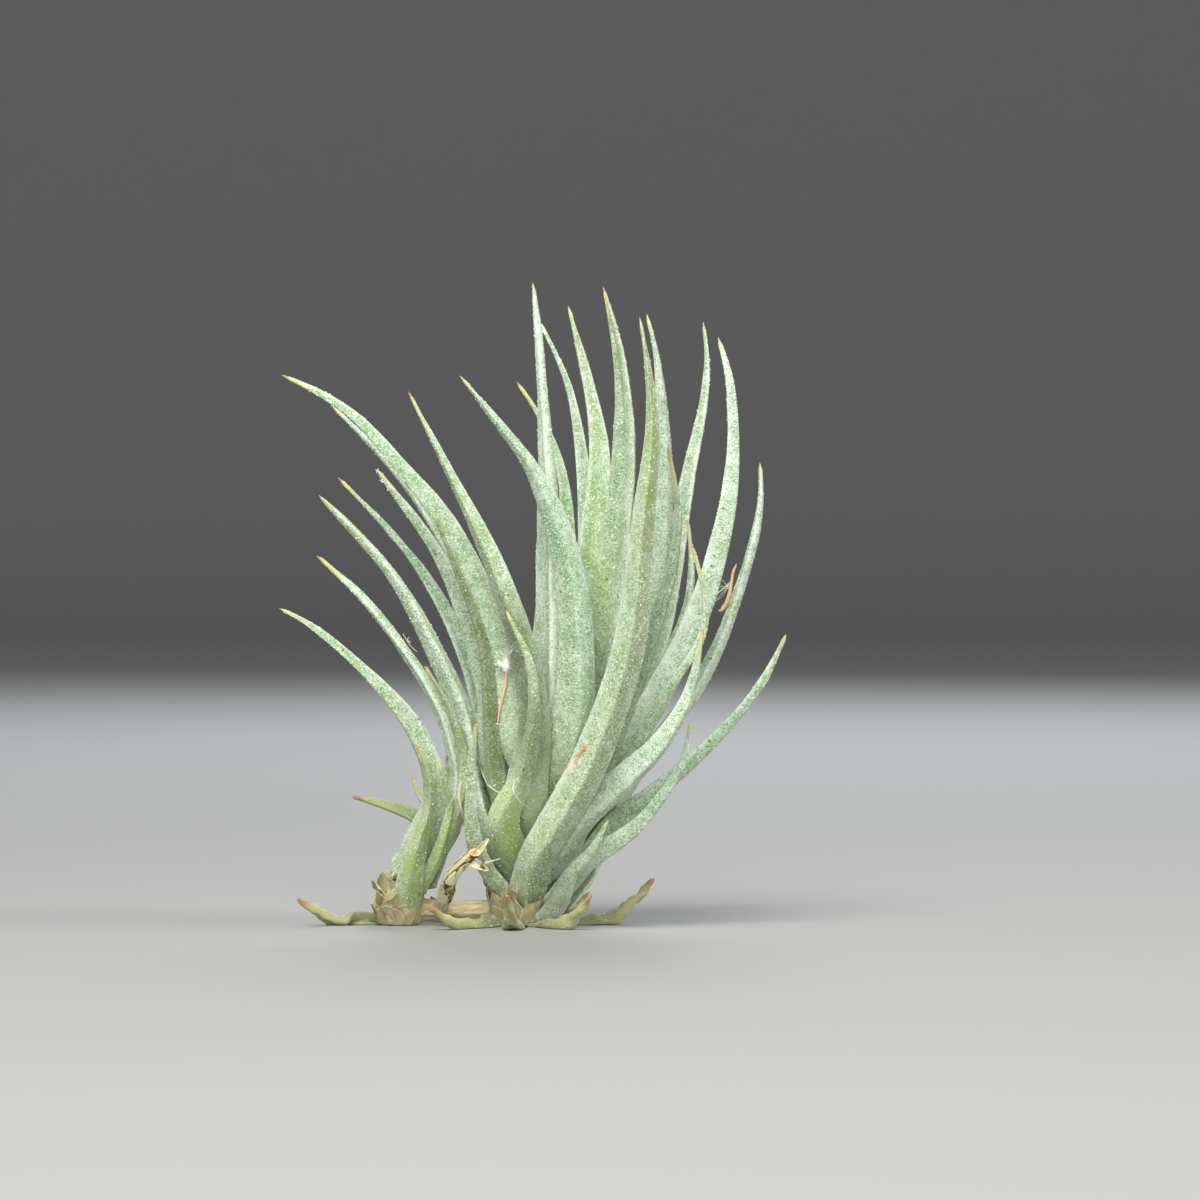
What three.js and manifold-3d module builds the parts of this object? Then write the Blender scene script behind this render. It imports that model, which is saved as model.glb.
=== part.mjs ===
// Tillandsia loliacea, a small clumping air plant, standing on its own foot.
// Millimetres, +Z up. The origin is the middle of the flat foot of the main stem, on the surface
// that the plant rests on. The plant is seen from -Y, with +X to the right.
// Every leaf is a solid of its own, swept along its midrib and gathered round a short stem.

import * as THREE from 'three';
import { mergeVertices } from 'three/addons/utils/BufferGeometryUtils.js';
import Module from 'manifold-3d';

// Stems, in millimetres
const mainStemTop = 16.5;       // height of the growing point of the main shoot
const mainStemRadius = 2.4;     // at the foot
const mainStemTaper = 0.62;     // share of the radius lost by the top
const mainStemLean = 0.37;      // to the right, per millimetre of height
const sideStemTop = 9.5;
const sideStemRadius = 1.4;
const sideStemTaper = 0.5;
const sideStemLean = 0.42;
const sideStemFoot = -10.9;     // place of its foot to the left of the main stem
const taperCurve = 1.6;         // the stems lose their radius mostly near the top
const footHeight = 0.8;         // both stems end in a flat foot this thick
const scarSpacing = 0.9;        // leaf scars ring the stems this far apart
const scarDepth = 0.14;
const runnerHeight = 1.3;       // middle of the runner that joins the two stems
const runnerRadius = 0.9;

// Leaves, in millimetres, or as shares of the leaf's width or length
const leafGap = 0.3;            // clear air between a leaf and what it lies on
const thinnestBlade = 0.62;     // no blade is thinner, apart from its pointed end
const thicknessShare = 0.48;    // thickness over width
const channelShare = 0.2;       // depth of the channel on the inner face, over width
const channelMiddle = 0.35;     // how much of that depth lies under the midrib's line
const edgeThinning = 0.72;      // how much thinner the blade is at its edges
const sheathWidth = 1.05;       // width where the leaf clasps the stem, over its full width
const sheathShare = 0.16;       // length of that sheath
const taperPower = 2.2;         // how late a leaf narrows towards its tip, unless its row says
const faceSpread = 0.5;         // how much the backs of leaves at the sides turn to the sides
const upwardFacing = 0.35;      // how much the inner face of a leaf looks up
const seatShare = 0.3;          // how far the midrib stands off the stem, over the sheath's width
const sectionsPerLeaf = 13;     // rings along a long leaf
const sectionsPerShortLeaf = 9;
const shortLeafLength = 17;
const ringPlaces = [            // round a section: place across, and level from back to inside
  [-1, 0], [-0.6, -1], [0, -1.15], [0.6, -1], [1, 0], [0.55, 1], [0, 0.85], [-0.55, 1]];

// Bending crossing leaves clear
const clearingRounds = 180;
const clearingMargin = 0.12;    // extra room beyond the gap while bending, in millimetres
const clearEnough = 0.02;       // the bending ends when no overlap is deeper
const pushShare = 0.3;          // share of an overlap that each leaf gives way in one round
const stemPushShare = 1;
const longestMove = 0.5;        // of a point of the midrib, in one round
const crowdedHeight = 20;       // below this height the leaves crowd each other
const railPlaces = [-0.68, 0, 0.68];
const edgeRailThinning = 0.8;

// Old leaves round the foot
const groundLeafHeight = 1.7;
const groundLeafWidth = 2.1;
const groundLeafSides = [12, 58, 98, 136, 224, 262, 308];
const groundPress = 0.1;        // how far their backs are flattened where they touch the surface

// Height up the main stem and side of the leaves hidden behind, in degrees as for mainLeaves
const rearLeafRoots = [[2.8, 32], [3, 78], [2.8, 122], [4.8, 55], [5, 100], [6.4, 78], [8, 55],
  [8.2, 100], [9.8, 74], [5, 148]];
const rearLeafReach = 16.5;     // how far the lowest of them reach back, less higher up the stem
const rearLeafRise = 19;

// Dry stump of the old flower stalk. It leaves the runner between the shoots and ends cut off.
const stumpPath = [[-7.2, -1.35, 1.7], [-6.7, -3.4, 2.9], [-6.1, -5.9, 4.7], [-3.9, -7.2, 7]];
const stumpRadius = 0.42;
const stumpClearance = 0.25;    // room for the bracts round it
const stumpBracts = [
  { at: [-4.6, -6.9, 6.2], raised: 0.1, turned: 0.55, length: 2.2, width: 0.8 },
  { at: [-5.4, -6.4, 5.2], raised: 0.2, turned: 1.15, length: 1.9, width: 0.9 },
  { at: [-6.3, -5.1, 4.1], raised: 0.5, turned: 0.2, length: 1.7, width: 0.9 },
];

// The leaves of the main shoot. height is where the leaf grows from the stem, side is the way its
// root faces (0 right, 90 rear, 180 left, 270 front), and path runs from near the stem to the tip.
const mainLeaves = [
  // Left side, from the front to the back
  { name: 'leaf_front_left_short', height: 3.4, side: 205, width: 2.1,
    path: [[-3.7, -5, 7.8], [-4.1, -6.6, 13.6], [-3.6, -8, 18.7]] },
  { name: 'leaf_centre_short_front', height: 5.2, side: 235, width: 2.2,
    path: [[-0.6, -6.2, 9.9], [0.8, -8.5, 14.5], [1.5, -9.6, 19], [1.1, -10.4, 24],
      [-1, -11, 28.6]] },
  { name: 'leaf_left_front', height: 7, side: 262, width: 3,
    path: [[0.8, -4.6, 10.2], [1.7, -5.8, 16.9], [0.9, -6.6, 23.5], [-1.9, -7.4, 32.1],
      [-5.5, -7.8, 39.7], [-9.7, -8, 47.9]] },
  { name: 'leaf_left_narrow', height: 7, side: 228, width: 1.8,
    path: [[-1.5, -3.8, 13.6], [-2.9, -5.2, 25.6], [-5.5, -6.6, 32.7], [-7.5, -7.8, 37.4]] },
  { name: 'leaf_left_longest', height: 9.6, side: 210, width: 3.2,
    path: [[-1.3, -2, 15.2], [-3.3, -3, 27.6], [-7.5, -3.8, 36.6], [-10.9, -4.3, 40.8],
      [-14.5, -4.8, 45.1], [-18, -5.2, 47.6], [-21.6, -5.6, 49.3]] },
  { name: 'leaf_left_torn_tip', height: 7, side: 195, width: 3,
    path: [[-2.1, -1.4, 14.6], [-2.8, -1.4, 21.9], [-6.1, -0.8, 31.3], [-8.8, -0.2, 35.8],
      [-12.9, 0.4, 41]] },
  { name: 'leaf_left_high_back', height: 8.8, side: 150, width: 2.3,
    path: [[-0.6, 1.2, 16.9], [-3.3, 1.9, 27], [-6.6, 2.2, 34.1], [-9.7, 2.3, 39],
      [-13.3, 2.4, 43.2], [-17.1, 2.4, 46.8]] },
  { name: 'leaf_left_low', height: 5.2, side: 175, width: 3,
    path: [[-2.9, -0.6, 13.6], [-3.7, -0.8, 18.9], [-5.6, -0.9, 23.3], [-9.9, -0.9, 30.8],
      [-13.9, -0.9, 35.5], [-17.5, -0.9, 38.9]] },
  { name: 'leaf_left_low_back', height: 7, side: 128, width: 2,
    path: [[-2, 2.6, 15.1], [-4.9, 3.8, 24.5], [-7.9, 4.8, 30.4], [-11.5, 5.6, 35.2],
      [-16.5, 6.4, 40.3]] },
  // Centre
  { name: 'leaf_centre_tall', height: 12.4, side: 190, width: 3.3,
    path: [[2, -1.4, 17.4], [2.2, -1.4, 25.3], [2.1, -0.8, 40], [1.6, 0, 50.8],
      [1.1, 0.6, 57.9]] },
  { name: 'leaf_centre_leaning', height: 8.8, side: 288, width: 3.8,
    path: [[5, -4.2, 14.2], [5.7, -4.9, 20.8], [4.8, -5.4, 32], [1.6, -5.9, 40.5],
      [-1.2, -6.2, 44.4], [-5, -6.6, 49.1]] },
  { name: 'leaf_centre_back_short', height: 10.6, side: 120, width: 2.3,
    path: [[4, 4.8, 19.6], [4.4, 7, 31.5], [4, 8.8, 39.8], [2.4, 10, 44.7],
      [-0.3, 11, 48.9]] },
  { name: 'leaf_centre_back_tall', height: 12.4, side: 85, width: 2.2,
    path: [[5, 4.2, 21.1], [5.9, 6, 31.5], [5.7, 7.4, 39.7], [4.2, 8.8, 48.6], [1.5, 9.8, 54.5]] },
  { name: 'leaf_centre_right_back', height: 14.2, side: 120, width: 3, taper: 2.8,
    path: [[6.5, 1.8, 21.2], [7, 2.6, 32.5], [7.5, 3.2, 42.5], [6.3, 3.6, 49.4], [4.6, 4, 55.8]] },
  { name: 'leaf_centre_channelled', height: 13, side: 35, width: 3.4, taper: 3.4,
    path: [[6.7, 0.2, 21.5], [7.9, 0.3, 31.6], [9.1, 0.4, 42.5], [8.7, 0.7, 50.6],
      [7.2, 1.2, 57.3]] },
  // Right side, from the front to the back
  { name: 'leaf_front_long', height: 3.4, side: 262, width: 3.7,
    path: [[2.5, -5.8, 8], [5.4, -7.8, 12.6], [9.9, -9.8, 24.8], [11.3, -10.2, 37.3],
      [11.9, -10.2, 42.1], [12, -10.2, 47.2], [11.6, -10.1, 50.5], [10.9, -10, 54.7]] },
  { name: 'leaf_right_front_low', height: 5.2, side: 298, width: 3.2,
    path: [[4.8, -5.4, 9.1], [9.2, -7.4, 13.3], [12.6, -8.8, 16.8], [15.1, -9.8, 21.2],
      [16.3, -10.6, 27.1]] },
  { name: 'leaf_right_narrow', height: 7, side: 318, width: 2.3,
    path: [[7.7, -3.9, 14.4], [12.1, -5.4, 26.8], [13.7, -6, 32.1], [14.2, -6.6, 37.5],
      [13.3, -7, 43.3]] },
  { name: 'leaf_right_upright', height: 12.4, side: 300, width: 2.9,
    path: [[9.7, -3.2, 18.2], [12.5, -3.8, 27], [13.4, -3.6, 40.6], [12.6, -3.3, 50.6],
      [11.7, -3, 54.6]] },
  { name: 'leaf_right_bright', height: 9.6, side: 348, width: 3.2,
    path: [[7.3, -2.2, 13], [10.8, -2.6, 18.9], [15.4, -3, 28], [18.4, -3.2, 39.4],
      [18.5, -3.2, 48.1], [17.5, -3, 52.7]] },
  { name: 'leaf_right_thin', height: 7.4, side: 338, width: 1.2,
    path: [[12.1, -4.6, 20.6], [15.9, -5.8, 26.6], [16.2, -6.4, 29.9], [15, -7, 34.7]] },
  { name: 'leaf_far_right', height: 7, side: 12, width: 2.1,
    path: [[8.2, 0.6, 13.7], [15.7, 1.8, 23.5], [19.3, 2.6, 31.7], [21, 3.2, 38.2],
      [21.1, 3.6, 42.1]] },
  { name: 'leaf_right_back', height: 10.6, side: 45, width: 2.3, taper: 2.8,
    path: [[11.9, 3.8, 21.1], [15.5, 6.8, 40.1], [16.8, 7.8, 46.7], [17.1, 8.6, 50.8],
      [16.8, 9.2, 54.2]] },
  { name: 'leaf_right_back_small', height: 8.8, side: 32, width: 1.8,
    path: [[10.8, 2.8, 20.2], [14.4, 4, 28.4], [15, 4.6, 32.4], [14.7, 5.2, 36.8]] },
  // Low round the foot, on the right
  { name: 'leaf_low_right_long', height: 5.2, side: 345, width: 2.1,
    path: [[7.5, -2, 9.8], [13.1, -2.8, 14], [18.1, -2.9, 18.4], [21.5, -2.8, 22.6],
      [23.7, -2.6, 26.7]] },
  { name: 'leaf_low_right_front', height: 3.4, side: 325, width: 2.1,
    path: [[5.6, -4.4, 6.3], [10.6, -6.6, 10.1], [14.3, -8, 15.4], [15, -8.8, 18.9]] },
  { name: 'leaf_low_front_small', height: 2.4, side: 298, width: 1.7,
    path: [[3.7, -5.4, 5.8], [5.6, -7, 7.9], [7.2, -8, 10.7]] },
];

// The leaves of the side shoot that can be told apart
const sideLeaves = [
  { name: 'side_leaf_front', height: 2.4, side: 262, width: 2.3,
    path: [[-9.2, -3.2, 7.3], [-7.9, -4.2, 11.5], [-8.2, -4.9, 14.6], [-9.2, -5.4, 16.7]] },
  { name: 'side_leaf_long', height: 4.4, side: 225, width: 2.5,
    path: [[-7.5, -1.8, 11.2], [-9.3, -2.4, 17.4], [-14.2, -3.2, 23.3], [-16.2, -3.4, 25.1],
      [-18.7, -3.6, 27.1], [-21.4, -3.8, 28.5]] },
  { name: 'side_leaf_tall', height: 6.4, side: 190, width: 1.9,
    path: [[-6, 0.2, 14], [-7.3, 0.4, 19.4], [-10.7, 0.7, 25], [-14.3, 0.9, 29.5],
      [-18.3, 1, 33.3]] },
  { name: 'side_leaf_inner', height: 6.4, side: 300, width: 1.4,
    path: [[-5, -2.2, 14.5], [-6.2, -3.2, 19.4], [-8.6, -4.2, 23.6]] },
  { name: 'side_leaf_small_front', height: 4.4, side: 300, width: 1.2,
    path: [[-6.3, -4.1, 11.5], [-6.7, -4.8, 12.8], [-7.3, -5.6, 15]] },
  { name: 'side_leaf_low_back', height: 3.4, side: 140, width: 2.1,
    path: [[-9.3, 2.6, 8.6], [-12.5, 4, 10.5], [-15.3, 5.2, 11.1]] },
  { name: 'side_leaf_stub_back', height: 5.4, side: 110, width: 1.5,
    path: [[-8, 2.4, 10.2], [-8.9, 3.4, 11.8], [-9.5, 4.2, 13.1]] },
  // Hidden behind the others
  { name: 'side_rear_leaf_1', height: 2.4, side: 85, width: 2.1,
    path: [[-9.6, 3.6, 5.6], [-8.6, 5.4, 10], [-8.4, 6.6, 15]] },
  { name: 'side_rear_leaf_2', height: 4.4, side: 45, width: 2,
    path: [[-7.6, 2.4, 8.6], [-6.6, 3.6, 13.4], [-6.8, 4.8, 18.4]] },
  { name: 'side_ground_leaf', height: 1.6, side: 195, width: 2.1, onGround: true,
    path: [[-15.6, -1, 0.9], [-17.6, -1.5, 1.5], [-19.8, -2.2, 3.4]] },
];

const degrees = Math.PI / 180;
const vector = (p) => new THREE.Vector3(...p);

// A seeded draw, so that the leaves of the rules come out the same every time
let drawState = 20251;
function draw(low, high) {
  const modulus = 2147483647;
  drawState = (drawState * 48271) % modulus;
  return low + (high - low) * (drawState / modulus);
}

// Axis point and radius of each stem at a height
const mainStem = {
  axis: (z) => new THREE.Vector3(mainStemLean * z, 0, z),
  radius: (z) => mainStemRadius * (1 - mainStemTaper * Math.pow(z / mainStemTop, taperCurve)),
  top: mainStemTop,
};
const sideStem = {
  axis: (z) => new THREE.Vector3(sideStemFoot + sideStemLean * z, 0, z),
  radius: (z) => sideStemRadius * (1 - sideStemTaper * Math.pow(z / sideStemTop, taperCurve)),
  top: sideStemTop,
};

// Leaves on the far side, which arch back and up behind the others
function rearLeaves() {
  return rearLeafRoots.map(([height, sideDegrees], i) => {
    const side = sideDegrees * degrees;
    const reach = rearLeafReach - height * 0.75 + draw(-0.4, 0.4);
    const rise = rearLeafRise + height * 0.25 + draw(-1.5, 1.5);
    const foot = mainStem.axis(height);
    const back = Math.sin(side);
    const across = Math.cos(side) * 0.6;
    const at = (share, lift) =>
      [foot.x + across * reach * share, back * reach * share, height + rise * lift];
    return {
      name: 'rear_leaf_' + (i + 1), height, side: sideDegrees, width: draw(2.6, 3.2),
      path: [at(0.5, 0.2), at(0.78, 0.5), at(0.95, 0.8), at(1, 1)],
    };
  });
}

// Short old leaves low round the foot. Their backs dip to the surface, so the plant rests on them.
function groundLeaves() {
  return groundLeafSides.map((sideDegrees, i) => {
    const side = sideDegrees * degrees;
    const reach = draw(8.5, 12.5);
    const tipHeight = draw(2.6, 4.6);
    const foot = mainStem.axis(groundLeafHeight);
    const at = (share, z) =>
      [foot.x + Math.cos(side) * reach * share, Math.sin(side) * reach * share, z];
    return {
      name: 'ground_leaf_' + (i + 1), height: groundLeafHeight, side: sideDegrees,
      width: groundLeafWidth, onGround: true, path: [at(0.5, 0.9), at(0.72, 1.3), at(1, tipHeight)],
    };
  });
}

// Midrib and facing of one leaf, before it is bent clear of its neighbours
function layOut(row, stem) {
  const side = row.side * degrees;
  const outward = new THREE.Vector3(Math.cos(side), Math.sin(side), 0);
  const back = new THREE.Vector3(Math.cos(side) * faceSpread, Math.sin(side), 0).normalize();
  const seat = leafGap + row.width * sheathWidth * seatShare;
  const root = stem.axis(row.height).addScaledVector(outward, stem.radius(row.height) + seat);
  const curve = new THREE.CatmullRomCurve3([root, ...row.path.map(vector)], false, 'centripetal');
  const count = curve.getLength() < shortLeafLength ? sectionsPerShortLeaf : sectionsPerLeaf;
  return { ...row, back, seat, stem, spine: curve.getSpacedPoints(count) };
}

// Width of a leaf at a ring
function widthAt(leaf, i) {
  const share = i / (leaf.spine.length - 1);
  const clasping = sheathWidth + (1 - sheathWidth) * Math.min(1, share / sheathShare);
  return leaf.width * clasping * (1 - Math.pow(share, leaf.taper ?? taperPower));
}

function thicknessOf(width) {
  return Math.min(width, Math.max(thinnestBlade, width * thicknessShare));
}

// The directions across a leaf and towards its inner face, at a ring
function facing(leaf, i) {
  const before = leaf.spine[Math.max(0, i - 1)];
  const after = leaf.spine[Math.min(leaf.spine.length - 1, i + 1)];
  const along = after.clone().sub(before).normalize();
  const inward = leaf.back.clone().negate().add(new THREE.Vector3(0, 0, upwardFacing));
  inward.addScaledVector(along, -inward.dot(along)).normalize();
  return { inward, across: inward.clone().cross(along).normalize() };
}

// A point of a ring: place runs from -1 to 1 across, level from -1 (back) to 1 (inside)
function ringPoint(leaf, i, place, level) {
  const width = widthAt(leaf, i);
  const { inward, across } = facing(leaf, i);
  const channel = channelShare * width * (place * place - channelMiddle);
  const halfThickness = thicknessOf(width) / 2 * (1 - edgeThinning * place * place);
  return leaf.spine[i].clone()
    .addScaledVector(across, place * width / 2)
    .addScaledVector(inward, channel + level * halfThickness);
}

// Three lines along a leaf, each with a radius, stand for it while it is bent clear
function rails(leaf) {
  const rings = leaf.spine.map((p, i) => i);
  const lines = railPlaces.map((place) => rings.map((i) => {
    const thinning = place === 0 ? 1 : edgeRailThinning;
    const radius = thicknessOf(widthAt(leaf, i)) / 2 * thinning;
    return { point: ringPoint(leaf, i, place, 0), radius };
  }));
  const points = lines.flat().map((rail) => rail.point);
  const box = new THREE.Box3().setFromPoints(points).expandByScalar(1);
  return { lines, middle: lines[1], box };
}

// Closest points of two line pieces, as the shares along each
function closestShares(a0, a1, b0, b1) {
  const u = a1.clone().sub(a0);
  const v = b1.clone().sub(b0);
  const w = a0.clone().sub(b0);
  const uu = u.dot(u);
  const uv = u.dot(v);
  const vv = v.dot(v);
  const uw = u.dot(w);
  const vw = v.dot(w);
  const determinant = uu * vv - uv * uv;
  const clamp = (x) => THREE.MathUtils.clamp(x, 0, 1);
  const guess = determinant > 1e-9 ? clamp((uv * vw - vv * uw) / determinant) : 0;
  const t = clamp((uv * guess + vw) / vv);
  return [clamp((uv * t - uw) / uu), t];
}

// Low down, leaves give way to all sides. Higher up they give way in depth, which keeps the outline.
function giveWay(push, z) {
  const crowding = THREE.MathUtils.clamp(1 - z / crowdedHeight, 0, 1);
  return push.multiply(new THREE.Vector3(0.04 + 0.68 * crowding, 1, 0.04 + 0.36 * crowding));
}

// Pushes one piece of a rail off another, and returns how deep they overlap
function pushApart(railA, i, railB, j, movesA, movesB) {
  const [s, t] = closestShares(railA[i].point, railA[i + 1].point, railB[j].point,
    railB[j + 1].point);
  const nearest = (rail, k, share) => rail[k].point.clone().lerp(rail[k + 1].point, share);
  const radius = (rail, k, share) => rail[k].radius * (1 - share) + rail[k + 1].radius * share;
  const away = nearest(railA, i, s).sub(nearest(railB, j, t));
  const distance = Math.max(away.length(), 1e-4);
  const room = radius(railA, i, s) + radius(railB, j, t) + leafGap + clearingMargin;
  const overlap = room - distance;
  if (overlap <= 0) return 0;
  const push = giveWay(away.multiplyScalar(overlap * pushShare / distance), railB[j].point.z);
  movesA[i].addScaledVector(push, 1 - s);
  movesA[i + 1].addScaledVector(push, s);
  movesB[j].addScaledVector(push, t - 1);
  movesB[j + 1].addScaledVector(push, -t);
  return overlap;
}

// Adds to the moves of two shapes what takes them apart, and returns their worst overlap
function takeApart(shapeA, shapeB, movesA, movesB) {
  const step = (line, k) => line[k].point.distanceTo(line[k + 1].point);
  let worst = 0;
  for (let i = 0; i + 1 < shapeA.middle.length; i++) {
    for (let j = 0; j + 1 < shapeB.middle.length; j++) {
      const near = shapeA.middle[i].point.distanceTo(shapeB.middle[j].point);
      if (near > step(shapeA.middle, i) + step(shapeB.middle, j) + 4) continue;
      for (const railA of shapeA.lines) {
        for (const railB of shapeB.lines) {
          worst = Math.max(worst, pushApart(railA, i, railB, j, movesA, movesB));
        }
      }
    }
  }
  return worst;
}

// Keeps a leaf clear of the stem that it grows from
function keepOffStem(leaf, shape, moves) {
  shape.lines.forEach((line) => line.forEach(({ point, radius }, i) => {
    if (point.z > leaf.stem.top) return;
    const away = point.clone().sub(leaf.stem.axis(point.z)).setZ(0);
    const room = leaf.stem.radius(point.z) + leafGap + clearingMargin + radius;
    const overlap = room - away.length();
    if (overlap > 0) moves[i].addScaledVector(away.normalize(), overlap * stemPushShare);
  }));
}

// Moves a leaf's midrib, smoothed along its length, and brings its root back against the stem
function moveMidrib(leaf, home, moves) {
  const shifts = leaf.spine.map((p, i) =>
    p.clone().sub(home[i]).add(moves[i].clampLength(0, longestMove)));
  leaf.spine = home.map((p, i) => {
    const before = shifts[Math.max(0, i - 1)];
    const after = shifts[Math.min(shifts.length - 1, i + 1)];
    const neighbours = before.clone().add(after).multiplyScalar(0.25);
    return p.clone().addScaledVector(shifts[i], 0.5).add(neighbours);
  });
  const root = leaf.spine[0];
  const centre = leaf.stem.axis(root.z);
  const away = root.clone().sub(centre).normalize();
  root.copy(centre).addScaledVector(away, leaf.stem.radius(root.z) + leaf.seat);
}

// Bends leaves that cross each other, or the flower stalk, clear a little in each round
function bendClear(leaves, stalk) {
  const homes = leaves.map((leaf) => leaf.spine.map((p) => p.clone()));
  for (let round = 0; round < clearingRounds; round++) {
    const shapes = leaves.map(rails);
    const moves = leaves.map((leaf) => leaf.spine.map(() => new THREE.Vector3()));
    let worst = 0;
    shapes.forEach((shape, a) => {
      for (let b = a + 1; b < shapes.length; b++) {
        if (!shape.box.intersectsBox(shapes[b].box)) continue;
        worst = Math.max(worst, takeApart(shape, shapes[b], moves[a], moves[b]));
      }
    });
    const still = stalk.middle.map(() => new THREE.Vector3());
    leaves.forEach((leaf, a) => {
      takeApart(shapes[a], stalk, moves[a], still);
      keepOffStem(leaf, shapes[a], moves[a]);
      moveMidrib(leaf, homes[a], moves[a]);
    });
    if (worst < clearEnough) break;
  }
}

// Lowers an old leaf until its back presses on the surface
function pressToGround(leaf) {
  const low = leaf.spine.slice(0, -1).map((p, i) =>
    Math.min(...ringPlaces.map(([place, level]) => ringPoint(leaf, i, place, level).z)));
  const lowest = Math.min(...low.slice(1));
  const at = low.indexOf(lowest);
  leaf.spine.forEach((p, i) => {
    p.z -= (lowest + groundPress) * Math.min(1, i / at);
  });
}

// Closed skin over rings of the same number of points, with a flat start and a pointed end
function skin(points, sides, rings) {
  const faces = [];
  for (let i = 0; i + 1 < rings; i++) {
    for (let k = 0; k < sides; k++) {
      const a = i * sides + k;
      const b = i * sides + (k + 1) % sides;
      faces.push(a, b, b + sides, a, b + sides, a + sides);
    }
  }
  const lastRing = (rings - 1) * sides;
  for (let k = 0; k < sides; k++) {
    faces.push(lastRing + k, lastRing + (k + 1) % sides, rings * sides);
  }
  for (let k = 1; k + 1 < sides; k++) faces.push(0, k + 1, k);
  const geometry = new THREE.BufferGeometry().setFromPoints(points);
  geometry.setIndex(faces);
  return geometry;
}

// Solid of a leaf, flat where its back presses on the surface
function leafGeometry(leaf) {
  const rings = leaf.spine.length - 1;
  const points = [];
  for (let i = 0; i < rings; i++) {
    ringPlaces.forEach(([place, level]) => {
      const point = ringPoint(leaf, i, place, level);
      points.push(point.setZ(Math.max(0, point.z)));
    });
  }
  points.push(leaf.spine[rings]);
  return skin(points, ringPlaces.length, rings);
}

// Solid of a stem, ringed by its leaf scars
function stemGeometry(stem, sides) {
  const heights = [0, footHeight];
  for (let z = footHeight + scarSpacing; z < stem.top - 1; z += scarSpacing) heights.push(z);
  const points = [];
  heights.forEach((z, ring) => {
    const radius = stem.radius(z) - (ring % 2) * scarDepth;
    for (let k = 0; k < sides; k++) {
      const turn = k * 2 * Math.PI / sides;
      const offset = new THREE.Vector3(Math.cos(turn) * radius, Math.sin(turn) * radius, 0);
      points.push(stem.axis(z).add(offset));
    }
  });
  const end = heights[heights.length - 1];
  points.push(stem.axis(end + stem.radius(end)));
  return skin(points, sides, heights.length);
}

// Bodies are joined as solids
const wasm = await Module();
wasm.setup();

function toSolid(geometry) {
  geometry.deleteAttribute('normal');
  geometry.deleteAttribute('uv');
  const bare = mergeVertices(geometry, 1e-3);
  return new wasm.Manifold(new wasm.Mesh({
    numProp: 3,
    vertProperties: bare.attributes.position.array,
    triVerts: new Uint32Array(bare.index.array),
  }));
}

function toGeometry(solid) {
  const mesh = solid.getMesh();
  const geometry = new THREE.BufferGeometry();
  geometry.setAttribute('position', new THREE.BufferAttribute(mesh.vertProperties, 3));
  geometry.setIndex(new THREE.BufferAttribute(mesh.triVerts, 1));
  return geometry;
}

// Both stems in one body: the side stem grows from the foot of the main stem by a short runner
function stemBody() {
  const from = sideStem.axis(runnerHeight).x;
  const to = mainStem.axis(runnerHeight).x;
  const runner = new THREE.CylinderGeometry(runnerRadius, runnerRadius, to - from, 10);
  runner.rotateZ(Math.PI / 2);
  runner.translate((from + to) / 2, 0, runnerHeight);
  return toSolid(stemGeometry(mainStem, 12))
    .add(toSolid(stemGeometry(sideStem, 10)))
    .add(toSolid(runner));
}

// Stalk with a clean cut end, and its dry bracts round it
function stumpBody(curve) {
  const section = new THREE.Shape();
  section.absarc(0, 0, stumpRadius, 0, 2 * Math.PI);
  const stalk = new THREE.ExtrudeGeometry(section,
    { steps: 9, curveSegments: 4, extrudePath: curve, bevelEnabled: false });
  const bracts = stumpBracts.map(({ at, raised, turned, length, width }) => {
    const bract = new THREE.ConeGeometry(width / 2, length, 6);
    bract.scale(1, 1, 0.7);
    bract.translate(0, length / 2, 0);
    bract.rotateX(Math.PI / 2 + raised);
    bract.rotateY(turned);
    bract.translate(...at);
    return toSolid(bract);
  });
  return bracts.reduce((body, bract) => body.add(bract), toSolid(stalk));
}

const plant = new THREE.Group();

function addPiece(name, geometry, material) {
  const piece = new THREE.Mesh(geometry, material);
  piece.name = name;
  plant.add(piece);
}

const matt = (color) => new THREE.MeshStandardMaterial({ color, roughness: 0.9, metalness: 0 });
const leafSkin = matt(0xa9bd97);
const oldLeafSkin = matt(0x9a9768);
const stemSkin = matt(0x9a8a62);
const dryStalk = matt(0xc9b07a);

const stumpCurve = new THREE.CatmullRomCurve3(stumpPath.map(vector));
const stumpLine = stumpCurve.getSpacedPoints(8)
  .map((point) => ({ point, radius: stumpRadius + stumpClearance }));
const leaves = [
  ...mainLeaves.map((row) => layOut(row, mainStem)),
  ...rearLeaves().map((row) => layOut(row, mainStem)),
  ...groundLeaves().map((row) => layOut(row, mainStem)),
  ...sideLeaves.map((row) => layOut(row, sideStem)),
];
bendClear(leaves, { lines: [stumpLine], middle: stumpLine });
leaves.filter((leaf) => leaf.onGround).forEach(pressToGround);
leaves.forEach((leaf) => {
  addPiece(leaf.name, leafGeometry(leaf), leaf.onGround ? oldLeafSkin : leafSkin);
});
addPiece('flower_stalk_stump', toGeometry(stumpBody(stumpCurve)), dryStalk);
addPiece('stem', toGeometry(stemBody()), stemSkin);

export default plant;
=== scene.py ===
import math
import random

import bpy
import numpy as np
from mathutils import Matrix, Vector
from mathutils.bvhtree import BVHTree


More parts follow.
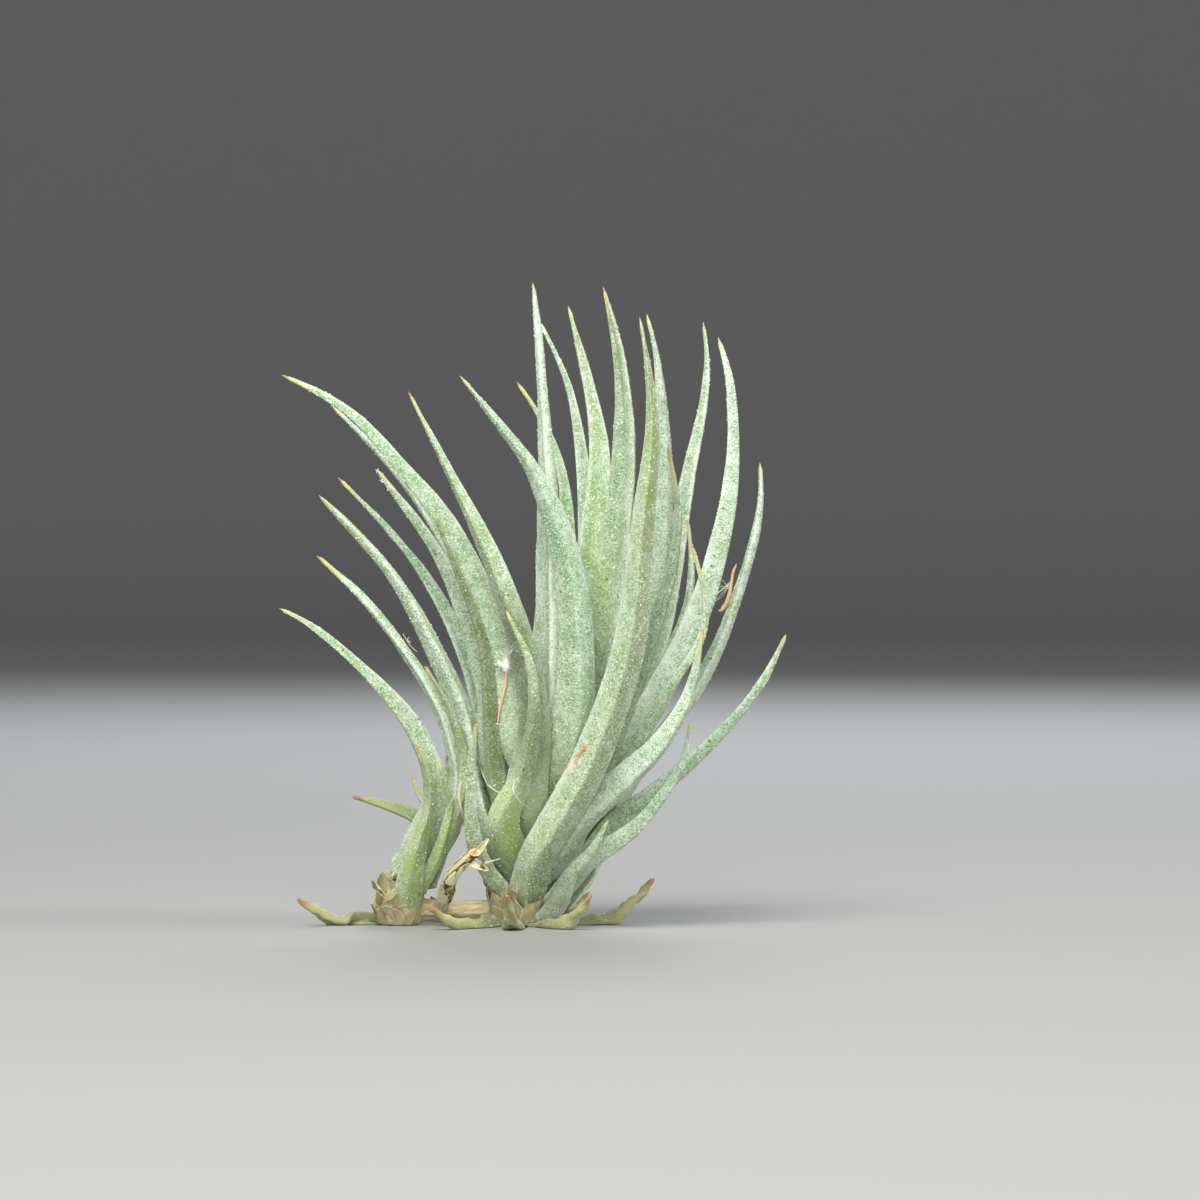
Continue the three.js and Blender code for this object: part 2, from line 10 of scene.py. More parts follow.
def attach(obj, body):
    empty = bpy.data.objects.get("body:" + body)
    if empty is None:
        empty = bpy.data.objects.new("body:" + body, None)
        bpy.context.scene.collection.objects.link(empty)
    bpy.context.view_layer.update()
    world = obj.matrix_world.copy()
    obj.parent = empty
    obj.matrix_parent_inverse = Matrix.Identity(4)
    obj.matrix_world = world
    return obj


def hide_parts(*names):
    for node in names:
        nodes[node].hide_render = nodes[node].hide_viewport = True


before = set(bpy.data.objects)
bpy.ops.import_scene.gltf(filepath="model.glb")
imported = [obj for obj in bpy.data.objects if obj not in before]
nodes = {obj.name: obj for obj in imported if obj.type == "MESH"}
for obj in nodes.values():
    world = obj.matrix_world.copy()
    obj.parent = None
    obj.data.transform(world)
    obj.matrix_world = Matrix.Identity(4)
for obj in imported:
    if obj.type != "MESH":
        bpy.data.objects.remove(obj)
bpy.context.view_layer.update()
mm = 0.001


def linear(hexColour):
    # sRGB hex to linear colour
    channels = [int(hexColour[i:i + 2], 16) / 255 for i in (1, 3, 5)]
    return [c / 12.92 if c <= 0.04045 else ((c + 0.055) / 1.055) ** 2.4 for c in channels] + [1]


def deselectAll():
    if bpy.context.object and bpy.context.object.mode != "OBJECT":
        bpy.ops.object.mode_set(mode="OBJECT")
    bpy.ops.object.select_all(action="DESELECT")


def pick(piece):
    # the only selected and active object
    deselectAll()
    piece.select_set(True)
    bpy.context.view_layer.objects.active = piece


def inEditMode(piece, work):
    # runs edit-mode operators on the whole mesh
    pick(piece)
    bpy.ops.object.mode_set(mode="EDIT")
    bpy.ops.mesh.select_all(action="SELECT")
    work()
    bpy.ops.object.mode_set(mode="OBJECT")


def chooseInEditMode(piece, kind, indexes):
    # leaves only these edges or faces selected; kind is "edges" or "polygons"
    bpy.ops.mesh.select_mode(type="EDGE" if kind == "edges" else "FACE")
    bpy.ops.mesh.select_all(action="DESELECT")
    bpy.ops.object.mode_set(mode="OBJECT")
    for index in indexes:
        getattr(piece.data, kind)[index].select = True
    bpy.ops.object.mode_set(mode="EDIT")


def joinPieces(pieces, name):
    # makes one piece of many, on the first one
    pick(pieces[0])
    for piece in pieces:
        piece.select_set(True)
    bpy.ops.object.join()
    pieces[0].name = name
    return pieces[0]


def applyModifier(piece, kind, **settings):
    pick(piece)
    modifier = piece.modifiers.new(kind.title(), kind)
    for name, value in settings.items():
        setattr(modifier, name, value)
    bpy.ops.object.modifier_apply(modifier=modifier.name)


def addNode(tree, kind, inputs=None, **settings):
    # adds a node, sets its properties, and fills its inputs with values, sockets or other nodes
    node = tree.nodes.new(kind)
    for name, value in settings.items():
        setattr(node, name, value)
    for name, value in (inputs or {}).items():
        if isinstance(value, bpy.types.Node):
            value = next(socket for socket in value.outputs if socket.enabled)
        if isinstance(value, bpy.types.NodeSocket):
            tree.links.new(value, node.inputs[name])
        else:
            node.inputs[name].default_value = value
    return node


def newMaterial(name):
    material = bpy.data.materials.new(name)
    material.use_nodes = True
    material.node_tree.nodes.clear()
    return material, material.node_tree


def finishMaterial(tree, surface, height=None, strength=0, depth=0):
    # the surface of a material, roughened by a relief whose depth is in mm
    if height is not None:
        surface["Normal"] = addNode(tree, "ShaderNodeBump",
                {"Height": height, "Strength": strength, "Distance": depth * mm})
    skin = addNode(tree, "ShaderNodeBsdfPrincipled", surface)
    addNode(tree, "ShaderNodeOutputMaterial", {"Surface": skin})


def copyOfNode(name, pieceName):
    # a closed, merged copy of a solid, to be shaped further
    piece = bpy.data.objects.new(pieceName, nodes[name].data.copy())
    bpy.context.collection.objects.link(piece)
    piece.data.materials.clear()
    inEditMode(piece, lambda: (bpy.ops.mesh.remove_doubles(threshold=0.002 * mm),
                               bpy.ops.mesh.tris_convert_to_quads(),
                               bpy.ops.mesh.normals_make_consistent(inside=False)))
    return piece


def readPoints(mesh):
    spots = np.empty(len(mesh.vertices) * 3)
    mesh.vertices.foreach_get("co", spots)
    return spots.reshape(-1, 3)


def writePoints(mesh, spots):
    mesh.vertices.foreach_set("co", spots.ravel())
    mesh.update()


def readLayer(mesh, name):
    values = np.empty(len(mesh.vertices), dtype=np.float32)
    mesh.attributes[name].data.foreach_get("value", values)
    return values.astype(float)


def writeLayer(mesh, name, values):
    # a number, or a vector in mm, for each point of a mesh
    values = np.asarray(values, dtype=np.float32)
    kind, field = ("FLOAT_VECTOR", "vector") if values.ndim == 2 else ("FLOAT", "value")
    layer = mesh.attributes.get(name) or mesh.attributes.new(name, kind, "POINT")
    if values.ndim < 2:
        values = np.ascontiguousarray(np.broadcast_to(values, len(mesh.vertices)))
    layer.data.foreach_set(field, values.ravel())


view = {
    "centre": (7.2, 29.3),     # x and height of the middle of the picture, in mm
    "distance": 650,           # mm, far off, so that depth changes sizes little
    "pictureWidth": 108.1,     # mm across the picture at the plant
    "elevation": 1.2,          # degrees above level
    "sensor": 36,              # mm
}
stageSettings = {
    "edge": 1.0,               # m, where the floor starts to bend up
    "radius": 1.4,             # m, where it stands upright
    "height": 0.9,             # m
    "sides": 96,
    "bendSteps": 8,
    "colour": "#9A9B9A",
    "tooth": 900,              # a metre: the paper's grain, drawn at about a millimetre
    "room": "#E9EDF0",         # colour and strength of the light from all round
    "roomStrength": 0.24,
}
lamps = [
    # name, place in m, size in m, watts, colour
    ("topLight", (-0.12, -0.34, 0.52), 0.34, 4.4, "#FFFBF5"),
    ("frontLight", (0.02, -0.66, 0.20), 0.44, 2.3, "#F8FAFF"),
    ("rightLight", (0.50, -0.10, 0.26), 0.28, 1.35, "#FFFBF4"),
    ("backLight", (0.06, 0.50, 0.36), 0.30, 2.2, "#F4F8FF"),
]

middle = Vector((view["centre"][0] * mm, 0, view["centre"][1] * mm))
tilt = math.radians(view["elevation"])
away = view["distance"] * mm
bpy.ops.object.camera_add(location=middle + Vector((0, -math.cos(tilt), math.sin(tilt))) * away)
camera = bpy.context.object
camera.name = "camera"
camera.rotation_euler = (math.pi / 2 - tilt, 0, 0)
camera.data.sensor_width = view["sensor"]
camera.data.lens = view["sensor"] * view["distance"] / view["pictureWidth"]
camera.data.clip_start = 0.01
camera.data.clip_end = 10
bpy.context.scene.camera = camera

deselectAll()
bpy.ops.mesh.primitive_circle_add(vertices=stageSettings["sides"],
                                  radius=stageSettings["edge"], fill_type="NGON")
floor = bpy.context.object
floor.name = "floor"


def raiseRim():
    # a soft curve from the floor up to a low wall, all round
    edge, steps = stageSettings["edge"], stageSettings["bendSteps"]
    bend = stageSettings["radius"] - edge
    reach, height = edge, 0
    for step in range(1, steps + 1):
        turn = math.radians(90 * step / steps)
        newReach, newHeight = edge + bend * math.sin(turn), bend * (1 - math.cos(turn))
        bpy.ops.mesh.extrude_region_move()
        bpy.ops.transform.resize(value=(newReach / reach, newReach / reach, 1))
        bpy.ops.transform.translate(value=(0, 0, newHeight - height))
        reach, height = newReach, newHeight
    bpy.ops.mesh.extrude_region_move()
    bpy.ops.transform.translate(value=(0, 0, stageSettings["height"] - height))
    bpy.ops.mesh.delete(type="ONLY_FACE")


inEditMode(floor, raiseRim)
bpy.ops.object.shade_smooth()
floorPaint, tree = newMaterial("mattStudioPaper")  # plain pale paper with a faint tooth
place = addNode(tree, "ShaderNodeTexCoord")
tooth = addNode(tree, "ShaderNodeTexNoise",
        {"Vector": place.outputs["Object"], "Detail": 3, "Scale": stageSettings["tooth"]})
finishMaterial(tree, {"Base Color": linear(stageSettings["colour"]), "Roughness": 0.9,
        "Specular IOR Level": 0.2}, tooth.outputs["Fac"], 0.1, 0.1)
floor.data.materials.append(floorPaint)

for name, place, size, watts, colour in lamps:
    bpy.ops.object.light_add(type="AREA", location=place)
    lamp = bpy.context.object
    lamp.name = name
    lamp.data.shape = "DISK"
    lamp.data.size = size
    lamp.data.energy = watts
    lamp.data.color = linear(colour)[:3]
    lamp.visible_camera = False
    lamp.rotation_euler = (middle - Vector(place)).to_track_quat("-Z", "Y").to_euler()

world = bpy.data.worlds.new("softRoom")
world.use_nodes = True
light = world.node_tree.nodes["Background"]
light.inputs["Color"].default_value = linear(stageSettings["room"])
light.inputs["Strength"].default_value = stageSettings["roomStrength"]
bpy.context.scene.world = world
bpy.context.scene.view_settings.view_transform = "Standard"
print("stage: camera, floor and light")


# Each leaf starts as its solid, is smoothed, and gets its real section: a channelled blade with a
# keel along its back, a thin sheath that clasps the stem, and an uneven, blunt, dried tip.
leafShape = {
    "widening": 1.04,      # of the solid
    "margin": 0.09,        # mm, half the thickness of the blade at its edges
    "curl": 1.55,          # radius of the channel, over half the width
    "keel": 0.26,          # ridge along the back, over half the width
    "groove": 0.16,        # mm, line along the middle of the channel
    "sheathLength": 8,     # mm, along which the blade clasps the stem
    "broadening": 15,      # mm, along which it grows to the width of its sheath
    "sheathWidth": 0.36,   # share by which the sheath is wider than the blade
    "sheathThinning": 0.5,    # share by which it is thinner
    "reach": 1.15,         # mm that the sheath goes in to the stem
    "drop": 1.1,           # mm that it goes down along it
    "blunt": 0.18,         # mm, half the width of the tip
    "slimPeak": 8.5,       # mm from the tip, where a leaf is slimmer than its solid
    "slimSpan": 4.6,       # mm each way
    "bellyAt": 0.38,       # share of the length from the root, where a belly is widest
    "foldLift": 24,        # degrees that each half of a keeled blade is raised
    "rootTurn": 2.6,       # mm over which the sheath turns in to the stem
    "sunk": 0.5,           # mm that a dead leaf has sunk to the ground
    "lowest": 0.05,        # mm above the ground
    "unevenWidth": (0.025, 15),    # share of the width, and mm of its waves
    "unevenEdge": (0.05, 6),       # mm, and mm of its waves
    "bellies": (0.62, 0.3),        # shares of the solid's depth behind and before the middle
}
# How each leaf differs. tone 0 is cool blue-green and 1 is yellow-green, cover is how much of it
# the scales hide, dry is the length of its dried tip in mm, spots is how many bare green spots it
# has, sheath is how yellow its base is, shade is painted shade that darkens it, and fold 0 is
# round and 1 is keeled. wide is how much the sheath broadens (below zero it narrows), belly how
# much the
# middle does, and slim how much narrower it is near its tip. tint is painted shade on one side:
# how much darker and more olive its right side is drawn (its left side below zero), midline how
# brown the line along its channel is, and wither how dead it is. forward and aside are mm that the
# sheath is moved to the front and to the right. shadeBand is painted shade along a stretch: how
# much darker that stretch is drawn, and where it starts and ends in mm from the root.
plainLook = dict(tone=0.45, cover=0.6, dry=1.3, spots=0.4, sheath=0.35, shade=0, fold=0.45, wide=1,
        belly=0, tint=0.2, wither=0, slim=0.12, midline=0.15, forward=0, aside=0, shadeBand=(0, 0, 1))
leafLooks = {
    "leaf_left_longest": dict(tone=0.6, dry=1.5, spots=0.5, fold=0.6, tint=-0.25),
    "leaf_left_high_back": dict(tone=0.6, cover=0.7, dry=0.9),
    "leaf_left_front": dict(tone=0.75, cover=0.55, dry=1.8, spots=0.6, sheath=1, fold=0.6,
        wide=1.5, tint=-0.4, slim=0.22, shadeBand=(0.5, 8, 23)),
    "leaf_left_narrow": dict(tone=0.95, cover=0.48, dry=0.6, spots=0.6, sheath=0.7, shade=0.1,
        tint=0.5, shadeBand=(0.38, 8, 30)),
    "leaf_left_torn_tip": dict(cover=0.7, dry=1.0),
    "leaf_left_low_back": dict(tone=0.1, dry=1.6, spots=0.2, slim=0.22),
    "leaf_left_low": dict(tone=0.6, cover=0.66, dry=1.0, spots=0.5, slim=0.22),
    "leaf_front_left_short": dict(tone=0.65, dry=1.2, sheath=0.4, forward=-0.9),
    "leaf_centre_short_front": dict(tone=1.05, cover=0.5, dry=0.7, sheath=1.25, wide=1.9,
        forward=0.5, aside=-0.7, shadeBand=(0.45, 10.5, 18)),
    "leaf_centre_tall": dict(tone=0.3, cover=0.72, dry=0.6, spots=0.1, fold=0, belly=0.6, tint=0),
    "leaf_centre_leaning": dict(tone=0.2, dry=0.8, spots=0.9, tint=-0.35, slim=0.25),
    "leaf_centre_back_short": dict(tone=0.55, dry=1.6, spots=0.1),
    "leaf_centre_back_tall": dict(tone=0.25, cover=0.72, dry=0.5, spots=0.1),
    "leaf_centre_right_back": dict(tone=0.75, cover=0.62, dry=1.0, spots=0.3, belly=0.15),
    "leaf_centre_channelled": dict(tone=0.5, cover=0.55, dry=1.4, spots=0.3, shade=0.1, fold=0.8,
        belly=0.1, midline=0.7),
    "leaf_front_long": dict(tone=0.75, cover=0.55, dry=0.9, sheath=0.45, fold=0.8, wide=-0.35,
        tint=0.7, slim=0),
    "leaf_right_upright": dict(tone=0.2, cover=0.74, dry=0.9, slim=0.05),
    "leaf_right_narrow": dict(tone=0.5, cover=0.55, dry=2.2, spots=0.6, shade=0.25, tint=0.5),
    "leaf_right_back": dict(tone=0.3, cover=0.66, dry=0.7, spots=0.1),
    "leaf_right_bright": dict(tone=0.25, cover=0.78, dry=0.7, spots=0.5, fold=0.7),
    "leaf_far_right": dict(tone=0.15, cover=0.7, dry=0.8, spots=1, tint=0.25, slim=0.05),
    "leaf_right_thin": dict(tone=0.6, dry=1.8),
    "leaf_right_back_small": dict(tone=0.4, dry=1.5, spots=0.2),
    "leaf_right_front_low": dict(tone=0.15, cover=0.72, dry=1.5, fold=0.7),
    "leaf_low_right_long": dict(tone=0.1, cover=0.58, dry=0.9, spots=0.8, shade=0.2, slim=0.2),
    "leaf_low_right_front": dict(tone=0.2, cover=0.66, dry=0.6),
    "leaf_low_front_small": dict(tone=0.35, cover=0.7, dry=0.6),
    "side_leaf_front": dict(tone=1.1, cover=0.42, dry=1.2, sheath=0.55, shade=0.08, fold=0.7,
        wide=0.4),
    "side_leaf_long": dict(tone=0.7, cover=0.62, dry=1.2, spots=0.5, sheath=0.5, fold=0.7,
        wide=0.5, slim=0.26),
    "side_leaf_tall": dict(tone=0.55, cover=0.72, dry=1.8, wide=-0.5, aside=1),
    "side_leaf_inner": dict(tone=1.0, cover=0.5, sheath=0.5, shade=0.1),
    "side_leaf_small_front": dict(tone=1.05, cover=0.45, dry=0.8, sheath=0.7),
    "side_leaf_low_back": dict(tone=0.9, cover=0.35, dry=2.4, spots=0.2, shade=0.35, aside=0.5),
}
oldLook = dict(tone=0.9, cover=0.32, dry=2.6, spots=0.1, sheath=0.6, shade=0.3, fold=0.1, wide=0.8,
        tint=0, wither=0.85, slim=0, midline=0)
# Places where the skin is lime green and has few scales: x and height in mm, reach each way in
# mm, and strength
limePatches = {
    "leaf_centre_short_front": [(-0.4, 8, 1.2, 3.4, 0.8), (2.5, 15.8, 0.35, 2, 0.9)],
    "leaf_left_narrow": [(-2.6, 30, 0.5, 6, 0.5)],
    "leaf_front_long": [(11.6, 42, 0.7, 7, 0.9), (12.2, 34, 0.6, 4, 0.5)],
    "leaf_centre_right_back": [(6.6, 33, 1.4, 4, 0.7), (6.2, 40, 0.8, 3, 0.35)],
    "leaf_centre_channelled": [(7.4, 31.5, 1.3, 4, 0.5)],
    "leaf_right_bright": [(18.0, 37.5, 0.6, 2.6, 0.8)],
    "leaf_left_low": [(-14.6, 35.4, 0.5, 1.2, 0.7)],
    "leaf_far_right": [(19.6, 28, 0.5, 1.6, 0.6)],
    "side_leaf_front": [(-9.5, 6.5, 1.2, 2.4, 0.35)],
    "side_leaf_small_front": [(-7.6, 8, 0.8, 2.4, 0.6)],
    "leaf_low_right_long": [(17.0, 9.0, 0.8, 0.8, 0.6)],
}
stemFeet = {"main": Vector((0, 0, 0)), "side": Vector((-10.9 * mm, 0, 0))}


def findRings(mesh, spots, foot):
    # the sections of a leaf, from its tip down, found by stepping from edge to edge
    links = [[] for _ in spots]
    for edge in mesh.edges:
        a, b = edge.vertices
        links[a].append(b)
        links[b].append(a)
    tip = int(np.argmax(np.linalg.norm(spots - np.array(foot), axis=1)))
    rings = [[tip]]
    seen = {tip}
    while True:
        following = sorted({j for i in rings[-1] for j in links[i]} - seen)
        if not following:
            return rings
        rings.append(following)
        seen.update(following)


def unit(v):
    return v / np.maximum(np.linalg.norm(v, axis=-1, keepdims=True), 1e-12)


def smoothStep(v):
    v = np.clip(v, 0, 1)
    return v * v * (3 - 2 * v)


def smoothAlong(at, knots, values):
    # a smooth curve through the values that the sections have
    slopes = np.gradient(values, knots, axis=0)
    i = np.clip(np.searchsorted(knots, at) - 1, 0, len(knots) - 2)
    span = knots[i + 1] - knots[i]
    t = np.clip((at - knots[i]) / span, 0, 1)
    if values.ndim > 1:
        span, t = span[:, None], t[:, None]
    return ((2 * t**3 - 3 * t**2 + 1) * values[i] + (t**3 - 2 * t**2 + t) * span * slopes[i]
            + (3 * t**2 - 2 * t**3) * values[i + 1] + (t**3 - t**2) * span * slopes[i + 1])


def waver(at, length, chance):
    # an even, seeded unevenness between -1 and 1, whose waves are about this long
    total = 0
    for share, strength in ((1, 0.6), (0.53, 0.3), (0.29, 0.2)):
        total = total + strength * np.sin(at / (length * share) * 2 * math.pi
                                          + chance.uniform(0, 2 * math.pi))
    return total


def measureLeaf(piece, foot):
    # reads the sections of the solid and notes where each of its points lies on its section
    mesh = piece.data
    spots = readPoints(mesh)
    rings = findRings(mesh, spots, foot)
    last = len(rings) - 1
    middles = np.array([spots[ring].mean(axis=0) for ring in rings])
    travelled = np.concatenate([[0], np.cumsum(np.linalg.norm(np.diff(middles, axis=0), axis=1))])
    outward = middles[last] - np.array(foot)
    outward[2] = 0
    outward = unit(outward)
    acrosses = np.zeros((last + 1, 3))
    halves = np.zeros(last + 1)
    depths = np.zeros(last + 1)
    where = np.zeros((len(spots), 3))          # share across, level and way from the tip
    across = None
    for i in range(last, 0, -1):
        ring = rings[i]
        along = unit(middles[i - 1] - middles[min(i + 1, last)])
        offsets = spots[ring] - middles[i]
        offsets = offsets - np.outer(offsets @ along, along)
        if across is None or np.linalg.norm(offsets, axis=1).max() > 0.45 * mm:
            spread = np.linalg.eigh(offsets.T @ offsets)[1][:, -1]
            across = spread if across is None or spread @ across > 0 else -spread
        across = unit(across - (across @ along) * along)
        inward = unit(np.cross(along, across))
        if i == last and inward @ outward > 0:
            across, inward = -across, -inward    # so that inward keeps to the inner face
        x = offsets @ across
        z = offsets @ inward
        halves[i] = np.abs(x).max()
        rim = z[np.abs(x) > 0.9 * halves[i]].mean()
        level = z - rim * (x / halves[i]) ** 2
        depths[i] = level.max() - level.min()
        acrosses[i] = across
        where[ring, 0] = x / halves[i]
        where[ring, 1] = level / (depths[i] / 2)
        where[ring, 2] = travelled[i]
    acrosses[0] = acrosses[1]
    where[rings[0], 1] = 0
    for k, name in enumerate(("share", "level", "way")):
        writeLayer(mesh, name, where[:, k])
    return {"middles": middles, "travelled": travelled, "acrosses": acrosses, "halves": halves,
            "depths": depths, "outward": outward}


def shapeLeaf(piece, solid, foot, look, patches, seed):
    # gives each point of the smoothed leaf its place on the real section
    mesh = piece.data
    chance = random.Random(seed)
    share, level, way = (readLayer(mesh, name) for name in ("share", "level", "way"))
    knots = solid["travelled"]
    total = knots[-1]
    turn = np.arctan2(level, share)
    radial = np.hypot(level, share)
    radial = np.where((way > total - 0.01 * mm) & (radial < 0.85), radial, 1)
    x = np.cos(turn)
    inner = np.sin(turn) > 0

    middles, ahead, after = [smoothAlong(np.clip(way + step * mm, 0, total), knots,
                                         solid["middles"]) for step in (0, -0.2, 0.2)]
    along = unit(ahead - after)
    across = smoothAlong(way, knots, solid["acrosses"])
    across = unit(across - (across * along).sum(axis=1, keepdims=True) * along)
    inward = unit(np.cross(along, across))

    fromRoot = total - way
    sheathLength = min(leafShape["sheathLength"] * mm, 0.45 * total)
    base = smoothStep(1 - fromRoot / sheathLength)
    half = smoothAlong(way, knots, solid["halves"]) * leafShape["widening"]
    widest = leafShape["bellyAt"]
    half = half * (1 + look["belly"] * smoothStep(1 - np.abs(fromRoot / total - widest) / widest))
    strength, length = leafShape["unevenWidth"]
    half = half * (1 + strength * waver(way, length * mm, chance))
    slim = np.exp(-((way / mm - leafShape["slimPeak"]) / leafShape["slimSpan"]) ** 2)
    half = half * (1 - look["slim"] * slim)
    broad = smoothStep(1 - fromRoot / min(leafShape["broadening"] * mm, 0.6 * total))
    half = half * (1 + leafShape["sheathWidth"] * look["wide"] * broad)
    blunt = leafShape["blunt"] * mm
    half = np.maximum(half, blunt * np.sqrt(np.clip(way / blunt, 0, 1)))
    half = np.minimum(half, blunt * np.sqrt(np.clip(way / blunt, 0, 400)))
    depth = smoothAlong(way, knots, solid["depths"]) * (1 - leafShape["sheathThinning"] * base)
    depth = np.clip(depth, 1.1 * np.minimum(half, blunt), None)

    # thickness on each side of the blade's middle surface
    dome = (1 - np.abs(x) ** 2.4) ** 0.6
    roof = 1 - np.abs(x)
    fold = look["fold"]
    edge = leafShape["margin"] * mm * np.sqrt(np.clip(1 - x * x, 0, 1))
    behind, before = leafShape["bellies"]
    outer = behind * depth * ((1 - fold) * dome + fold * roof) + edge
    outer = outer + leafShape["keel"] * half * (1 - base) * (0.4 + fold) * roof ** 2
    groove = leafShape["groove"] * mm * np.exp(-(x / 0.3) ** 2) * np.minimum(half / mm, 1)
    inside = before * depth * dome + edge - groove
    height = np.where(inner, inside, -outer) * radial

    # the blade curls round its channel, and at its base round the stem
    radius = np.linalg.norm((solid["middles"][-1] - np.array(foot))[:2])
    bend = leafShape["curl"] * half * (1 - 0.35 * look["wither"]) * (1 - base)
    bend = bend + max(radius, 1.6 * mm) * base
    bend = np.maximum(bend, 0.1 * mm)
    angle = x * radial * half / bend
    roundX, roundZ = np.sin(angle) * (bend - height), bend - np.cos(angle) * (bend - height)
    lift = math.radians(leafShape["foldLift"])
    foldX = x * radial * half * math.cos(lift)
    foldZ = np.abs(x) * radial * half * math.sin(lift) + height
    keep = fold * (1 - base)
    newX = roundX * (1 - keep) + foldX * keep
    newZ = roundZ * (1 - keep) + foldZ * keep
    strength, length = leafShape["unevenEdge"]
    newZ = newZ + strength * mm * x * x * waver(way + x * mm, length * mm, chance)
    if look["wither"]:
        newZ = newZ + 0.25 * mm * look["wither"] * waver(way + 0.6 * x * mm, 4 * mm, chance)
        newX = newX * (1 - 0.25 * look["wither"] * (0.5 + 0.5 * waver(way, 5 * mm, chance)))
    newZ = newZ - 0.2 * half * (1 - base)          # keeps the curled blade over its solid
    spots = middles + across * newX[:, None] + inward * newZ[:, None]
    near = smoothStep(1 - fromRoot / (leafShape["rootTurn"] * mm))
    spots = spots - np.outer(near * leafShape["reach"] * mm, solid["outward"])
    spots[:, 2] -= near * leafShape["drop"] * mm
    lap = smoothStep((fromRoot / mm - 0.4) / 3) * smoothStep((11 - fromRoot / mm) / 6)
    spots[:, 0] += look["aside"] * mm * lap
    spots[:, 1] -= look["forward"] * mm * lap
    spots[:, 2] -= look["wither"] * leafShape["sunk"] * mm
    spots[:, 2] = np.maximum(spots[:, 2], leafShape["lowest"] * mm)
    writePoints(mesh, spots)

    shift = np.array([chance.uniform(0, 50) for _ in range(3)])
    space = np.stack([np.where(inner, newX, newX * 1.05), way, height], axis=1) / mm
    lime = np.zeros(len(spots))
    for px, pz, reachX, reachZ, strength in patches:
        lime += strength * np.exp(-((spots[:, 0] / mm - px) / reachX) ** 2
                                  - ((spots[:, 2] / mm - pz) / reachZ) ** 2)
    # painted shade: shade darkens the whole leaf, and a stretch between two distances from the
    # root is drawn darker still
    dark, start, end = look["shadeBand"]
    stretch = smoothStep((fromRoot / mm - start) / 4 + 0.5)
    stretch = stretch * smoothStep((end - fromRoot / mm) / 6 + 0.5)
    layers = {"leafSpace": space + shift, "fromTip": way / mm, "fromRoot": fromRoot / mm,
              "share": x * radial, "lime": lime, "innerFace": np.where(inner, 1.0, 0.0)}
    for name in ("tone", "cover", "dry", "spots", "sheath", "tint", "wither", "midline"):
        layers[name] = look[name]
    layers["shade"] = look["shade"] + dark * stretch
    for name, values in layers.items():
        writeLayer(mesh, name, values)
    for name in ("level", "way"):
        mesh.attributes.remove(mesh.attributes[name])


# 76805C is multiplied in as painted shade, and #828B5B is the olive of the side drawn in painted
# shade
leafColours = {
    "coolFlesh": "#6A9E70", "warmFlesh": "#82A447", "sheath": "#BCCC7D", "lime": "#9DBB58",
    "shadedSide": "#828B5B", "bare": "#6A9146", "scale": "#DEECD8", "midline": "#8F8A52",
    "strawDark": "#807655", "straw": "#B0A880", "paleTip": "#CDCE93", "dryTip": "#BE9970",
    "shade": "#76805C", "greyFlake": "#B9CDB0", "whiteFlake": "#E8F0E4", "tanFlake": "#D0BC8C",
}
leafPaint = {name: linear(colour) for name, colour in leafColours.items()}
skinSettings = {
    # whether a pattern runs along the leaf, its waves in a millimetre, detail, roughness and
    # distortion; the felt is scales of a quarter of a millimetre, drawn out into wisps
    "patterns": {"bands": (True, 1.4, 2, 0.5, 0), "veins": (True, 5, 1, 0.5, 0),
                 "patches": (False, 0.6, 3, 0.5, 0), "blotches": (False, 2.4, 2, 0.5, 0),
                 "felt": (False, 4.1, 3, 0.62, 1.6)},
    "yellowFrom": (15, 4),     # mm from the root, where the sheath's yellow starts and is full
    # how much more the scales hide along the margins, in soft patches, on the side drawn in
    # painted shade, at the yellow sheath and in lime patches
    "coverOf": {"rim": 0.36, "patch": 0.25, "shadedSide": -0.3, "yellow": -0.12, "lime": -0.3},
    "felt": (-0.86, 0.62),     # how much the felt adds to that in its gaps and on its scales
    "dotScale": 1.3,           # bare dots for each millimetre, if all were chosen
    "dotEdge": (0.22, 0.14),   # a fifth of a millimetre across
    "midlineFrom": (17, 9),    # mm from the tip, where the brown midline starts and is full
    "paleFrom": (2.8, 1.0),    # in lengths of the dried tip
    "brownFrom": (0.85, 0.5),
    "relief": 0.08,            # mm
}


